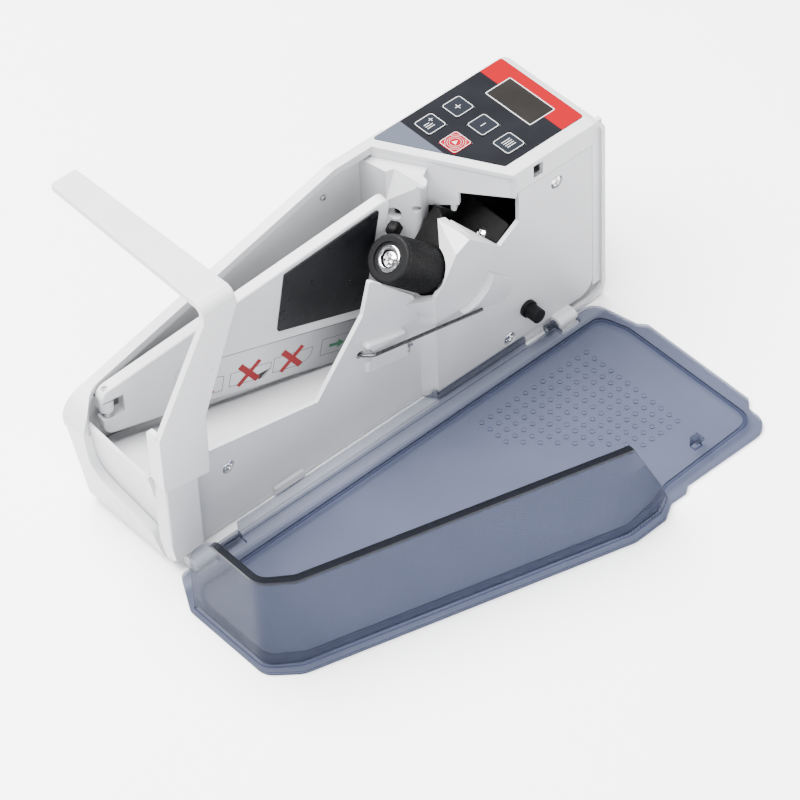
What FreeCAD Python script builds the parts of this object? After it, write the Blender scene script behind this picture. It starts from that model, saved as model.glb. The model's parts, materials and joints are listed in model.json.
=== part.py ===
"""Portable banknote counting machine, open for use: +X along the front, +Y to the back, +Z up.

The origin is the middle of the body's footprint, on the surface that the machine stands on.
All sizes are in millimetres.
"""
import FreeCAD
import Part
import math
import os

os.makedirs("parts", exist_ok=True)
V = FreeCAD.Vector

# ---- driving dimensions: body ----
LENGTH = 285.0                 # left end to right end
DEPTH = 68.0                   # front rim to back wall
DECK_Z = 117.5                 # top face of the key deck
HALF_L = LENGTH / 2
HALF_D = DEPTH / 2
WALL = 2.4                     # moulded wall
SOLE_Z = 1.0                   # underside of the shell, on its feet
RIM_SLOPE = math.radians(15.06)
KINK_X = 24.7                  # where the level deck turns into the sloping hopper rim
LEFT_TOP_Z = DECK_Z - (KINK_X + HALF_L) * math.tan(RIM_SLOPE)
LEFT_FOOT_X = -131.0           # the left end leans in towards the table
RIM_IN_Y = 27.5                # inner edge of the hopper's back rim
END_TOP_Y = 16.8               # front edge of the left end, near its top
FASCIA_Z = 103.0               # seam between the deck's fascia and the front panel
FLANGE_X = 135.0               # inner edge of the right-hand flange

# ---- driving dimensions: front chassis ----
FACE_Y = -32.6                 # face of the proud right-hand block
TRAY_Y = -25.1                 # face of the set-back left-hand panel
STEP_X = 33.0                  # side of the proud block
GUIDE_TOP_Z = 111.0            # top of the hopper's corner guide
FIN_RISE = 4.0                 # height of the note ramp on the face
NOSE_DEPTH = 20.0              # how far the note-peeling nose reaches back
END_BAND = 4.5                 # thickness of the shell's left end
SHELL_LIP_Y = -25.0            # front edge of the shell's bottom wall
LIP_END_X = 118.0              # where that front edge steps forward
COLUMN = (-134.0, -114.8)      # column that the arm slides on, in X
COLUMN_FACE_Y = -34.0
COLUMN_TOP_Z = 88.0
TRAY_TOP_Z = 59.5              # front edge of the hopper floor, at the column
TRAY_FALL_X = 0.2157           # the floor falls to the right
TRAY_FALL_Y = 0.42             # and to the back

# ---- driving dimensions: feed drive, on one slanting axis ----
DRIVE_ANGLE = math.radians(44.1)
DRIVE_ORIGIN = V(16.9, -18.4, 96.8)    # centre of the roller's outer end face
ROLLER_R = 12.2
ROLLER_LEN = 31.0
SHAFT_R = 2.5
EAR_1 = 33.0                   # first bracket ear, along the drive axis
EAR_2 = 56.0
EAR_T = 2.0
MODULE = 0.5
GEAR_TEETH = 40
PINION_TEETH = 10
CENTRE_DIST = MODULE * (GEAR_TEETH + PINION_TEETH) / 2 + 0.1
RUN_GAP = 0.05                 # radial clearance of a running fit

# ---- driving dimensions: hopper plate ----
PIVOT = V(-122.3, 23.4, 0)
PLATE_YAW = -8.0               # degrees, right end forward
PLATE_T = 6.0
PIN_R = 1.5

# ---- driving dimensions: cover ----
HINGE_Y = -36.2
HINGE_Z = 4.6
COVER_LOW = 0.3
COVER_T = 2.2
COVER_TOP = COVER_LOW + COVER_T
COVER_BACK_Y = -35.2           # the open cover's edge next to the body
WALL_TOP = 61.5                # top of the standing wall
COVER_WALL_T = 2.2

# ---- driving dimensions: arm ----
ARM_T = 3.2
ARM_TOP_Z = 160.5
ARM_BACK_Y = 73.5

# ---- driving dimensions: key deck ----
KEY = 11.7
KEY_GAP = 0.2
KEY_TOP = DECK_Z + 0.8
KEY_PITCH = 17.9
KEY_X = (78.5, 96.4)
KEY_Y = (19.6, 1.7, -16.2)
OVERLAY_T = 0.5
DISPLAY = (112.8, 128.3, -13.4, 17.5)


# ---------------------------------------------------------------- helpers
def rounded(points):
    """Closed list of edges through 2-D points (u, v) or (u, v, radius)."""
    n = len(points)
    cuts = []
    for i in range(n):
        p = points[i]
        c = V(p[0], p[1], 0)
        a = V(points[i - 1][0], points[i - 1][1], 0)
        b = V(points[(i + 1) % n][0], points[(i + 1) % n][1], 0)
        r = p[2] if len(p) > 2 else 0
        if r == 0:
            cuts.append((c, None, c))
            continue
        da = (a - c).normalize()
        db = (b - c).normalize()
        half = da.getAngle(db) / 2
        t = r / math.tan(half)
        mid = (da + db).normalize()
        top = c + mid * (r / math.sin(half) - r)
        cuts.append((c + da * t, top, c + db * t))
    edges = []
    for i in range(n):
        first, top, last = cuts[i]
        if top is not None:
            edges.append(Part.Arc(first, top, last).toShape())
        nxt = cuts[(i + 1) % n][0]
        if (nxt - last).Length > 1e-6:
            edges.append(Part.LineSegment(last, nxt).toShape())
    return edges


def plate_xy(points, z0, z1):
    """Outline in plan, from z0 up to z1."""
    face = Part.Face(Part.Wire(rounded(points)))
    solid = face.extrude(V(0, 0, z1 - z0))
    solid.translate(V(0, 0, z0))
    return solid


def plate_xz(points, y0, y1):
    """Outline seen from the front, from y0 back to y1."""
    solid = plate_xy(points, 0, y1 - y0)
    solid.rotate(V(0, 0, 0), V(1, 0, 0), 90)
    solid.translate(V(0, y1, 0))
    return solid


def plate_yz(points, x0, x1):
    """Outline seen from the right end, points (y, z), from x0 to x1."""
    solid = plate_xy(points, 0, x1 - x0)
    solid.rotate(V(0, 0, 0), V(1, 1, 1), 120)
    solid.translate(V(x0, 0, 0))
    return solid


def box(x0, x1, y0, y1, z0, z1):
    return Part.makeBox(x1 - x0, y1 - y0, z1 - z0, V(x0, y0, z0))


def rod(start, direction, radius, length):
    return Part.makeCylinder(radius, length, start, direction)


def fuse(solids):
    result = solids[0]
    for other in solids[1:]:
        result = result.fuse(other)
    return result.removeSplitter()


def cut(solid, tools):
    for tool in tools:
        solid = solid.cut(tool)
    return solid


def save(name, shape):
    """One STEP file per named piece."""
    solids = shape.Solids
    volume = sum(s.Volume for s in solids)
    print(f"{name:22s} solids {len(solids)}  volume {volume:9.1f}  valid {shape.isValid()}")
    out = solids[0] if len(solids) == 1 else Part.Compound(solids)
    out.exportStep(f"parts/{name}.step")


def soften(shape, radius, wanted):
    """Fillet the edges that the test picks; keep the sharp solid if that fails."""
    edges = [e for e in shape.Edges if wanted(e)]
    if not edges:
        return shape
    try:
        done = shape.makeFillet(radius, edges)
        return done if done.isValid() and done.Solids else shape
    except Part.OCCError:
        return shape


def on_drive(shape):
    """Move a piece from drive coordinates (back, up across the axis, along it) into place."""
    along = V(math.cos(DRIVE_ANGLE), 0, -math.sin(DRIVE_ANGLE))
    across = V(math.sin(DRIVE_ANGLE), 0, math.cos(DRIVE_ANGLE))
    turn = FreeCAD.Rotation(V(0, 1, 0), across, along, "ZXY")
    shape.Placement = FreeCAD.Placement(DRIVE_ORIGIN, turn).multiply(shape.Placement)
    return shape


def on_plate(shape):
    """Move a piece from the hopper plate's own frame into place."""
    turn = FreeCAD.Rotation(V(0, 0, 1), PLATE_YAW)
    shape.Placement = FreeCAD.Placement(PIVOT, turn).multiply(shape.Placement)
    return shape


def screw(head_r, head_h, length, shank_r=1.4):
    """Pan-head screw with a cross recess; its head's top is at z = 0, its point at -z."""
    head = Part.makeCylinder(head_r, head_h, V(0, 0, -head_h))
    head = soften(head, head_h * 0.45, lambda e: abs(e.BoundBox.ZMin) < 1e-6 and e.Closed)
    slot = box(-head_r * 0.55, head_r * 0.55, -0.35, 0.35, -head_h * 0.6, 1)
    cross = box(-0.35, 0.35, -head_r * 0.55, head_r * 0.55, -head_h * 0.6, 1)
    shank = Part.makeCylinder(shank_r, length, V(0, 0, -head_h - length))
    return fuse([cut(head, [slot, cross]), shank])


def facing(shape, at, normal):
    """Put a piece made along +Z at a point, pointing along a normal."""
    turn = FreeCAD.Rotation(V(0, 0, 1), normal)
    shape.Placement = FreeCAD.Placement(at, turn).multiply(shape.Placement)
    return shape


# ---------------------------------------------------------------- outer shell
def body_outline(inset):
    """Front view of the shell, moved inwards by inset."""
    left = -HALF_L + inset
    top = DECK_Z - inset
    foot = LEFT_FOOT_X + inset * 1.06
    low = SOLE_Z + inset
    rise = inset / math.cos(RIM_SLOPE)
    slope_z = LEFT_TOP_Z - rise + inset * math.tan(RIM_SLOPE)
    kink = KINK_X + inset * math.tan(RIM_SLOPE / 2)
    return [
        (foot, low, 9.0 - inset),
        (HALF_L - inset, low, 9.0 - inset),
        (HALF_L - inset, top, 8.0 - inset),
        (kink, top),
        (left, slope_z, 13.0 - inset),
    ]


DIAG_FRONT = V(84.2, -HALF_D, 0)       # front end of the deck's diagonal edge
DIAG_BACK = V(48.4, RIM_IN_Y, 0)       # its back end, at the hopper rim


def diagonal_plate(s_z_points, thickness):
    """Upright plate under the deck's diagonal edge; points are (distance along it, z)."""
    run = DIAG_BACK - DIAG_FRONT
    solid = plate_xz(s_z_points, -thickness, 0)
    angle = math.degrees(math.atan2(run.y, run.x))
    solid.rotate(V(0, 0, 0), V(0, 0, 1), angle)
    solid.translate(DIAG_FRONT)
    return solid


def end_opening():
    """Room in front of the left end's curved edge, points (y, z)."""
    return plate_yz([(-60, 150), (END_TOP_Y, 150), (END_TOP_Y, 66), (21.8, 33, 13), (-18.8, 21.2, 6),
                     (-24.0, 6), (-24.0, -1), (-60, -1)], -HALF_L - 2, -110)


def rear_shell():
    shell = plate_xz(body_outline(0), -HALF_D, HALF_D)
    shell = soften(shell, 3.0, lambda e: e.BoundBox.YMin > HALF_D - 0.01)
    hollow = plate_xz(body_outline(WALL), -HALF_D - 1, HALF_D - WALL)
    end_keep = box(-HALF_L - 1, -127, -30, HALF_D, 4, 110)
    hollow = hollow.cut(plate_xz(body_outline(0), -30, HALF_D).common(end_keep))
    hollow = hollow.fuse(plate_xz(body_outline(END_BAND), -31, HALF_D - WALL).common(end_keep))
    mouth = plate_xy([(-200, -HALF_D - 1), (DIAG_FRONT.x - 0.6, -HALF_D - 1), (DIAG_BACK.x, DIAG_BACK.y),
                      (-127.0, DIAG_BACK.y, 12), (-138.5, END_TOP_Y, 8), (-200, END_TOP_Y)], 60, 140)
    lip = box(-HALF_L - 1, LIP_END_X, -HALF_D - 1, SHELL_LIP_Y, -1, 12)
    rim_band = rim_strip()
    shell = cut(fuse([shell.cut(hollow), rim_band]), [mouth, end_opening(), lip])
    # fascia under the deck's front edge, and the flange at the right end
    fascia = box(DIAG_FRONT.x - 1.4, HALF_L - 1, FACE_Y, FACE_Y + WALL, FASCIA_Z, DECK_Z - 1)
    flange = box(FLANGE_X + 0.2, HALF_L - 1, FACE_Y, FACE_Y + WALL, 10, FASCIA_Z + 1)
    corner = box(FLANGE_X + 0.2, FLANGE_X + 2.2, FACE_Y, -20, 10, FASCIA_Z)
    brow = diagonal_plate([(0, 102.2), (0, DECK_Z - 1), (72, DECK_Z - 1), (72, 82.0), (49.5, 85.3),
                           (32.6, 89.6), (32.6, 86.0, 1.2), (29.8, 86.0, 1.2), (29.8, 90.4), (28.3, 90.8),
                           (28.3, 98.7)], WALL)
    boss = rod(V(PIVOT.x, PIVOT.y, 63.4), V(0, 0, 1), 3.6, 6.2)
    boss_arm = box(PIVOT.x - 2.6, PIVOT.x + 2.6, PIVOT.y, HALF_D - 1, 63.4, 69.6)
    shell = fuse([shell, fascia, flange, corner, brow, boss, boss_arm])
    # openings in the deck and walls
    holes = [rod(V(PIVOT.x, PIVOT.y, 60), V(0, 0, 1), PIN_R + RUN_GAP, 12)]
    for x, y in key_places().values():
        holes.append(box(x - KEY / 2 - KEY_GAP, x + KEY / 2 + KEY_GAP,
                         y - KEY / 2 - KEY_GAP, y + KEY / 2 + KEY_GAP, DECK_Z - 4, DECK_Z + 1))
    holes.append(box(DISPLAY[0], DISPLAY[1], DISPLAY[2], DISPLAY[3], DECK_Z - 4, DECK_Z + 1))
    holes.append(box(97.2, 103.2, FACE_Y - 1, FACE_Y + 4, 106.0, 114.6))
    holes.append(battery_recess())
    holes.append(box(72.5, 130, 25, 40, 18, 56))
    holes.append(rod(V(HALF_L - 5, 6, 78), V(1, 0, 0), 5.05, 10))
    holes.append(box(HALF_L - 5, HALF_L + 1, -0.6, 12.6, 90.4, 99.6))
    for x, z in ((-100, 30), (-100, 60), (20, 100), (125, 105)):
        holes.append(rod(V(x, HALF_D + 1, z), V(0, -1, 0), 3.2, 2.0))
        holes.append(rod(V(x, HALF_D + 1, z), V(0, -1, 0), 1.6, 6.0))
    for x, y in FEET:
        holes.append(rod(V(x, y, 0), V(0, 0, 1), 5.2, 1.8))
    return cut(shell, holes)


def rim_strip():
    """Thickened band along the hopper's back rim and down its left end."""
    band = plate_xz(body_outline(0), RIM_IN_Y, HALF_D - 1)
    inner = plate_xz(body_outline(END_BAND), RIM_IN_Y - 1, HALF_D)
    keep = box(-HALF_L - 1, 60, RIM_IN_Y - 1, HALF_D, 58, 130)
    return cut(band, [inner]).common(keep)


FEET = ((-112, -18), (-112, 24), (124, -18), (124, 24))


def rubber_feet():
    return Part.Compound([rod(V(x, y, 0), V(0, 0, 1), 5.0, SOLE_Z + 0.8) for x, y in FEET])


# ---------------------------------------------------------------- front chassis
def tray_z(x, y):
    """Height of the hopper floor."""
    return TRAY_TOP_Z - TRAY_FALL_X * (x - COLUMN[1]) - TRAY_FALL_Y * (y - TRAY_Y)


def hopper_floor():
    x0, x1, y0, y1 = -HALF_L, 31.0, TRAY_Y + 0.5, 29.8
    low, high = [], []
    for x, y in ((x0, y0), (x1, y0), (x1, y1), (x0, y1)):
        low.append(V(x, y, tray_z(x, y) - 2.2))
        high.append(V(x, y, tray_z(x, y)))
    faces = [low[::-1], high]
    for i in range(4):
        j = (i + 1) % 4
        faces.append([low[i], low[j], high[j], high[i]])
    shell = Part.Shell([Part.Face(Part.makePolygon(f + [f[0]])) for f in faces])
    return Part.Solid(shell)


def front_block():
    """Proud right-hand block: face, tapering nose and side wall."""
    face = plate_xz([(STEP_X, 2.2), (LIP_END_X, 2.2), (LIP_END_X, 7.0), (FLANGE_X, 7.0, 9),
                     (FLANGE_X, FASCIA_Z - 0.15), (87.3, FASCIA_Z - 0.15), (87.3, 84.2), (74.9, 76.1),
                     (55.8, 93.1, 0.8), (47.2, 88.9, 3), (38.0, 73.6), (STEP_X, 69.4, 2)],
                    FACE_Y, FACE_Y + WALL)
    clear = on_drive(rod(V(0, 0, -2), V(0, 0, 1), ROLLER_R + 0.9, 60))
    side = plate_xy([(STEP_X - 4.6, TRAY_Y), (STEP_X, FACE_Y), (STEP_X + WALL, FACE_Y),
                     (STEP_X + WALL, TRAY_Y + WALL), (STEP_X - 4.6, TRAY_Y + WALL)], 2.2, 56)
    side = fuse([side, side_shoulder()])
    return fuse([cut(face, [clear]), cut(note_nose(), [clear]), cut(side, [clear]), note_fin()])


def side_shoulder():
    """Upper part of the block's slanting side; it widens to the left as it rises."""
    low = [V(STEP_X - 4.6, TRAY_Y, 56), V(STEP_X, FACE_Y, 56), V(STEP_X + WALL, FACE_Y, 56),
           V(STEP_X + WALL, TRAY_Y + WALL, 56), V(STEP_X - 4.6, TRAY_Y + WALL, 56)]
    top = [V(21.0, TRAY_Y, 68), V(STEP_X, FACE_Y, 68), V(STEP_X + WALL, FACE_Y, 68),
           V(STEP_X + WALL, TRAY_Y + WALL, 68), V(21.0, TRAY_Y + WALL, 68)]
    wires = [Part.makePolygon(ring + [ring[0]]) for ring in (low, top)]
    return Part.makeLoft(wires, True, True)


def faceted(faces):
    """Solid with flat faces, each given as a list of corners."""
    shell = Part.Shell([Part.Face(Part.makePolygon(f + [f[0]])) for f in faces])
    solid = Part.Solid(shell)
    return solid if solid.Volume > 0 else solid.reversed()


def note_nose():
    """Horn that peels the notes off the roller; it narrows towards the back."""
    y = FACE_Y + 0.4
    right, top, left, low = V(74.9, y, 76.1), V(55.8, y, 93.1), V(47.2, y, 88.9), V(38.0, y, 73.6)
    base_l, base_r = V(40.0, y, 66.0), V(74.9, y, 66.0)
    tip_r, tip_l = V(58.6, FACE_Y + NOSE_DEPTH, 92.3), V(53.4, FACE_Y + NOSE_DEPTH, 94.6)
    return faceted([[right, top, left, low, base_l, base_r], [right, top, tip_r], [top, tip_l, tip_r],
                    [top, left, tip_l], [left, low, tip_l], [low, base_l, tip_l],
                    [base_l, base_r, tip_l], [base_r, tip_r, tip_l], [base_r, right, tip_r]])


def note_fin():
    """Low curved ramp that guides counted notes off the face."""
    crest_y = FACE_Y - FIN_RISE
    crest = [V(67.0, crest_y, 64.9), V(61.6, crest_y, 56.0), V(47.6, crest_y + 0.6, 51.7)]
    foot = [V(p.x, FACE_Y, p.z) for p in crest]
    edge = [V(82.2, FACE_Y, 50.5), V(79.4, FACE_Y, 40.6), V(68.7, FACE_Y, 42.0)]
    crest_arc, foot_arc, edge_arc = [Part.Arc(*knots).toShape() for knots in (crest, foot, edge)]
    outline = Part.Wire([foot_arc, Part.LineSegment(foot[2], edge[2]).toShape(), edge_arc,
                         Part.LineSegment(edge[0], foot[0]).toShape()])
    base = Part.Face(outline)
    sides = [Part.Face(Part.makePolygon([foot[0], crest[0], edge[0], foot[0]])),
             Part.Face(Part.makePolygon([foot[2], crest[2], edge[2], foot[2]]))]
    skins = [Part.makeRuledSurface(crest_arc, foot_arc), Part.makeRuledSurface(crest_arc, edge_arc)]
    shell = Part.makeShell(skins + sides + [base])
    shell.sewShape()
    ramp = Part.Solid(shell)
    ramp = ramp if ramp.Volume > 0 else ramp.reversed()
    return ramp.fuse(base.extrude(V(0, 1, 0)))


def tray_panel():
    """Set-back left-hand panel with the wire guide's raised housing."""
    panel = plate_xz([(COLUMN[1] - 1, 2.2), (STEP_X + WALL, 2.2), (STEP_X + WALL, 62), (27.5, 66.3),
                      (25.5, 71.4, 1), (2.4, 95.6), (0, 97.4, 0.6), (-5.3, 78.8),
                      (-35.6, 42.4), (COLUMN[1] - 1, TRAY_TOP_Z)], TRAY_Y, TRAY_Y + WALL)
    housing = plate_xz([(-7.6, 43.4, 2.4), (-6.6, 62.4, 2.4), (18.2, 55.6, 2.4), (19.2, 37.0, 2.4)],
                       TRAY_Y - 3.6, TRAY_Y + 1)
    housing = soften(housing, 1.6, lambda e: e.BoundBox.YMax < TRAY_Y - 3.5)
    tab = box(-66.0, -48.0, TRAY_Y - 1.8, TRAY_Y + 1, 2.2, 5.8)
    clear = on_drive(rod(V(0, 0, -2), V(0, 0, 1), ROLLER_R + 0.9, 60))
    return cut(fuse([panel, housing, tab]), [clear])


def column():
    """Upright that carries the arm's sleeve, with a rounded foot."""
    post = plate_yz([(COLUMN_FACE_Y, 7.5, 3), (COLUMN_FACE_Y, COLUMN_TOP_Z), (TRAY_Y + WALL, COLUMN_TOP_Z),
                     (TRAY_Y + WALL, 2.5), (-31.5, 2.5)], COLUMN[0], COLUMN[1])
    return soften(post, 1.2, lambda e: e.BoundBox.YMax < COLUMN_FACE_Y + 0.01 and e.BoundBox.ZLength > 40)


def end_wall():
    """Leaning wall at the left end, just inside the shell's own end."""
    outer = plate_xz(body_outline(END_BAND + 0.15), TRAY_Y, HALF_D - WALL - 0.2)
    inner = plate_xz(body_outline(END_BAND + 0.15 + WALL), TRAY_Y - 1, HALF_D)
    side = plate_yz([(TRAY_Y, 2), (TRAY_Y, 62.0), (20.8, 65.0), (25, 62), (25, 30, 10), (-12, 2)],
                    -HALF_L, COLUMN[0] + 10)
    return cut(outer, [inner]).common(side)


def partition():
    """Wall that closes the hopper's right end, with the flared guide on top of it."""
    outer = [(43.0, 12.5), (51.6, -2.4, 2.5), (63.6, 4.6)]
    wall = plate_xy(outer + [(62.6, 6.3), (52.4, 0.4, 0.8), (48.0, 14.0), (46.0, 31.4), (43.2, 31.4), (46.0, 15.3)],
                    26, GUIDE_TOP_Z - 1.0)
    block = plate_xy(outer + [(50, 31.4), (43.2, 31.4), (46.0, 15.3)], 88, GUIDE_TOP_Z)
    cap = plate_xy([(43.2, 31.4), (50, 31.4), (58.8, 13.2), (56.2, -3.2, 1.5), (52.8, -5.6, 0.8), (43.0, 12.5),
                    (46.0, 15.3)], GUIDE_TOP_Z - 2.0, GUIDE_TOP_Z)
    apex = V(43.0, 12.5, 96.0)
    rim = [V(46.0, 15.3, 0), V(50.4, 13.9, 0), V(52.8, -5.4, 0), V(44, -14, 0), V(38, 16, 0)]
    rim = [apex + (p + V(0, 0, GUIDE_TOP_Z) - apex) * 1.02 for p in rim]
    funnel = faceted([rim] + [[apex, rim[i - 1], rim[i]] for i in range(len(rim))])
    keep_out = on_drive(box(-13, 16.2, -14, 29.0, 31.5, 62))
    keep_out_2 = on_drive(box(-13, 26.6, -14, 37.2, 55.5, 90))
    big = rod(V(42.3, 7.3, 88.8), V(0.864, 0.504, 0), 3.6, 8)
    small = rod(V(47.8, -2.2, 94.2), V(0.864, 0.504, 0), 2.0, 8)
    under_deck = plate_xy([(DIAG_FRONT.x - 0.15, DIAG_FRONT.y), (DIAG_BACK.x - 0.15, DIAG_BACK.y),
                           (DIAG_BACK.x - 0.15, 45), (110, 45), (110, DIAG_FRONT.y)], 80, 130)
    return cut(fuse([wall, block, cap]), [funnel, keep_out, keep_out_2, big, small, under_deck])


def front_chassis():
    floor = hopper_floor()
    pieces = [tray_panel(), front_block(), column(), end_wall(), floor, partition()]
    link = box(24, 45, 14, 31.4, 3.6, 27)
    chassis = fuse(pieces + [link])
    clear = on_drive(rod(V(0, 0, -2), V(0, 0, 1), ROLLER_R + 0.9, ROLLER_LEN + 3))
    ear_slot = on_drive(box(-10.2, 15.6, -12.4, 28.6, EAR_1 - 0.4, EAR_1 + EAR_T + 0.4))
    ear_slot_2 = on_drive(box(-11.7, 26.6, -13.6, 37.2, EAR_2 - 0.3, EAR_2 + EAR_T + 0.3))
    holes = [clear, ear_slot, ear_slot_2]
    for at, _ in PANEL_SCREWS:
        holes.append(rod(V(at.x, at.y - 1, at.z), V(0, 1, 0), 3.7, 1.0 + 1.7))
        holes.append(rod(V(at.x, at.y - 1, at.z), V(0, 1, 0), 1.5, 8))
    holes.append(rod(V(KNOB_AT.x, FACE_Y - 1, KNOB_AT.z), V(0, 1, 0), KNOB_STEM_R + RUN_GAP, 8))
    holes.append(rod(V(WIRE_AT.x, TRAY_Y - 6, WIRE_AT.z), V(0, 1, 0), 2.2, 12))
    holes.append(rod(V(WIRE_AT.x, TRAY_Y - 6, WIRE_AT.z), V(0, 1, 0), 5.2, 6.0))
    holes.append(box(20.0, 22.4, TRAY_Y - 1, TRAY_Y + 4, 36.0, 44.4))
    inside = plate_xz(body_outline(WALL + 0.15), -60, HALF_D - WALL - 0.15)
    band = plate_xz(body_outline(0), SHELL_LIP_Y, HALF_D).cut(
        plate_xz(body_outline(END_BAND + 0.15), SHELL_LIP_Y - 1, HALF_D + 1))
    band = band.common(box(-HALF_L - 1, -122, -30, HALF_D, 0, 68))
    front = plate_xz(body_outline(0.4), -60, SHELL_LIP_Y - 0.15).common(
        box(-HALF_L, LIP_END_X - 0.2, -60, 0, 2.2, DECK_Z))
    return cut(chassis, holes).common(fuse([inside.cut(band), front])).cut(cover_sweep_clearance())


def cover_sweep_clearance():
    """Room along the bottom front edge for the cover's hinge barrels as they turn."""
    left = rod(V(-HALF_L, HINGE_Y, HINGE_Z), V(1, 0, 0), 6.8, HALF_L + STEP_X - 1.0)
    right = rod(V(0, HINGE_Y, HINGE_Z), V(1, 0, 0), 4.2, HALF_L)
    return fuse([left, right])


PANEL_SCREWS = (
    (V(112.0, FACE_Y, 93.9), 6),
    (V(-90.8, TRAY_Y, 38.0), 6),
    (V(79.7, FACE_Y, 10.5), 6),
)


def panel_screws():
    done = []
    for at, length in PANEL_SCREWS:
        piece = screw(3.3, 1.5, length, 1.45)
        done.append(facing(piece, V(at.x, at.y + 0.1, at.z), V(0, -1, 0)))
    return Part.Compound(done)


def back_screws():
    done = []
    for x, z in ((-100, 30), (-100, 60), (20, 100), (125, 105)):
        piece = screw(2.9, 0.8, 3.0, 1.5)
        done.append(facing(piece, V(x, HALF_D - 0.1, z), V(0, 1, 0)))
    return Part.Compound(done)


# ---------------------------------------------------------------- feed roller and drive
def ribbed_ring(radius, ribs, depth, inner, z0, z1):
    """Rubber sleeve with fine lengthwise ribs."""
    points = []
    for i in range(ribs):
        for share, r in ((0.0, radius), (0.55, radius), (0.6, radius - depth), (0.95, radius - depth)):
            a = 2 * math.pi * (i + share) / ribs
            points.append(V(r * math.cos(a), r * math.sin(a), z0))
    ring = Part.Face(Part.makePolygon(points + [points[0]])).extrude(V(0, 0, z1 - z0))
    return ring.cut(Part.makeCylinder(inner, z1 - z0 + 2, V(0, 0, z0 - 1)))


def roller_sleeve():
    sleeve = ribbed_ring(ROLLER_R, 72, 0.3, 8.2, 3.0, ROLLER_LEN)
    collar = Part.makeCylinder(ROLLER_R - 0.1, 3.0)
    collar = soften(collar, 1.4, lambda e: e.BoundBox.ZMax < 0.01 and e.Closed)
    collar = collar.cut(Part.makeCylinder(8.2, 5, V(0, 0, -1)))
    return on_drive(fuse([sleeve, collar]))


def roller_hub():
    hub = Part.makeCylinder(8.2, ROLLER_LEN - 1.0, V(0, 0, 1.0))
    recess = Part.makeCylinder(4.6, 3.0, V(0, 0, 0.5))
    return on_drive(cut(hub, [recess, Part.makeCylinder(SHAFT_R, 40, V(0, 0, 0))]))


def roller_washer():
    ring = Part.makeCylinder(6.6, 0.8, V(0, 0, 0.2)).cut(Part.makeCylinder(4.4, 3, V(0, 0, -1)))
    return on_drive(ring)


def roller_screw():
    piece = screw(4.2, 2.2, 0.8, 2.4)
    piece.rotate(V(0, 0, 0), V(1, 0, 0), 180)
    piece.translate(V(0, 0, 0.5))
    return on_drive(piece)


def roller_shaft():
    return on_drive(Part.makeCylinder(SHAFT_R, EAR_2 + EAR_T - 0.1 - 3.5, V(0, 0, 3.5)))


def gear(teeth, bore, width):
    """Spur gear with straight-flanked teeth and a little backlash."""
    pitch_r = MODULE * teeth / 2
    tip = pitch_r + MODULE * 0.9
    root = pitch_r - MODULE * 1.2
    points = []
    for i in range(teeth):
        mid = 2 * math.pi * i / teeth
        step = 2 * math.pi / teeth
        for share, r in ((-0.30, root), (-0.12, tip), (0.12, tip), (0.30, root)):
            a = mid + share * step
            points.append(V(r * math.cos(a), r * math.sin(a), 0))
    blank = Part.Face(Part.makePolygon(points + [points[0]])).extrude(V(0, 0, width))
    return blank.cut(Part.makeCylinder(bore, width + 2, V(0, 0, -1)))


GEAR_S = 50.0
GEAR_W = 4.0


def roller_gear():
    wheel = gear(GEAR_TEETH, SHAFT_R, GEAR_W)
    wheel.rotate(V(0, 0, 0), V(0, 0, 1), 360.0 / GEAR_TEETH / 2)
    wheel.translate(V(0, 0, GEAR_S))
    return on_drive(wheel)


def motor_pinion():
    wheel = gear(PINION_TEETH, 1.0, GEAR_W)
    wheel.rotate(V(0, 0, 0), V(0, 0, 1), 180)
    wheel.translate(V(CENTRE_DIST, 0, GEAR_S))
    return on_drive(wheel)


def motor_shaft():
    return on_drive(Part.makeCylinder(1.0, 11.5, V(CENTRE_DIST, 0, GEAR_S - 0.5)))


def drive_motor():
    can = Part.makeCylinder(11.5, 24.0, V(CENTRE_DIST, 0, EAR_2 + EAR_T + 0.02))
    can = soften(can, 1.5, lambda e: e.Closed and e.BoundBox.ZMin > EAR_2 + EAR_T + 20)
    tail = Part.makeCylinder(4.0, 2.0, V(CENTRE_DIST, 0, EAR_2 + EAR_T + 24))
    tabs = [box(CENTRE_DIST - 6.5, CENTRE_DIST - 4.5, -0.4, 0.4, EAR_2 + 26, EAR_2 + 30),
            box(CENTRE_DIST + 4.5, CENTRE_DIST + 6.5, -0.4, 0.4, EAR_2 + 26, EAR_2 + 30)]
    bore = Part.makeCylinder(1.0 + RUN_GAP, 3.5, V(CENTRE_DIST, 0, EAR_2 + EAR_T - 0.01))
    return on_drive(cut(fuse([can, tail] + tabs), [bore]))


def drive_bracket():
    """Black bent bracket: two ears across the drive axis and the web between them."""
    ear_1 = plate_xy([(-9.5, -12, 3), (15.0, -12, 2), (15.0, 28, 2), (-9.5, 16, 3)], EAR_1, EAR_1 + EAR_T)
    ear_2 = plate_xy([(-11.4, -13, 3), (26.0, -13, 4), (26.0, 13, 4), (15.0, 13), (15.0, 36.5, 1),
                      (-11.2, 36.5, 1), (-11.4, 27, 2)], EAR_2, EAR_2 + EAR_T)
    web = box(13.0, 15.0, 14.5, 27.5, EAR_1, EAR_2 + EAR_T)
    bracket = fuse([ear_1, ear_2, web])
    holes = [Part.makeCylinder(4.0, 40, V(0, 0, 30)),
             Part.makeCylinder(3.2, 10, V(CENTRE_DIST, 0, 52)),
             Part.makeCylinder(1.7, 10, V(-1.2, 24.5, 52))]
    return on_drive(cut(bracket, holes))


def bracket_screw():
    piece = screw(3.2, 1.6, 5, 1.6)
    piece.rotate(V(0, 0, 0), V(1, 0, 0), 180)
    piece.translate(V(-1.2, 24.5, EAR_2 - 1.6))
    return on_drive(piece)


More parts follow.
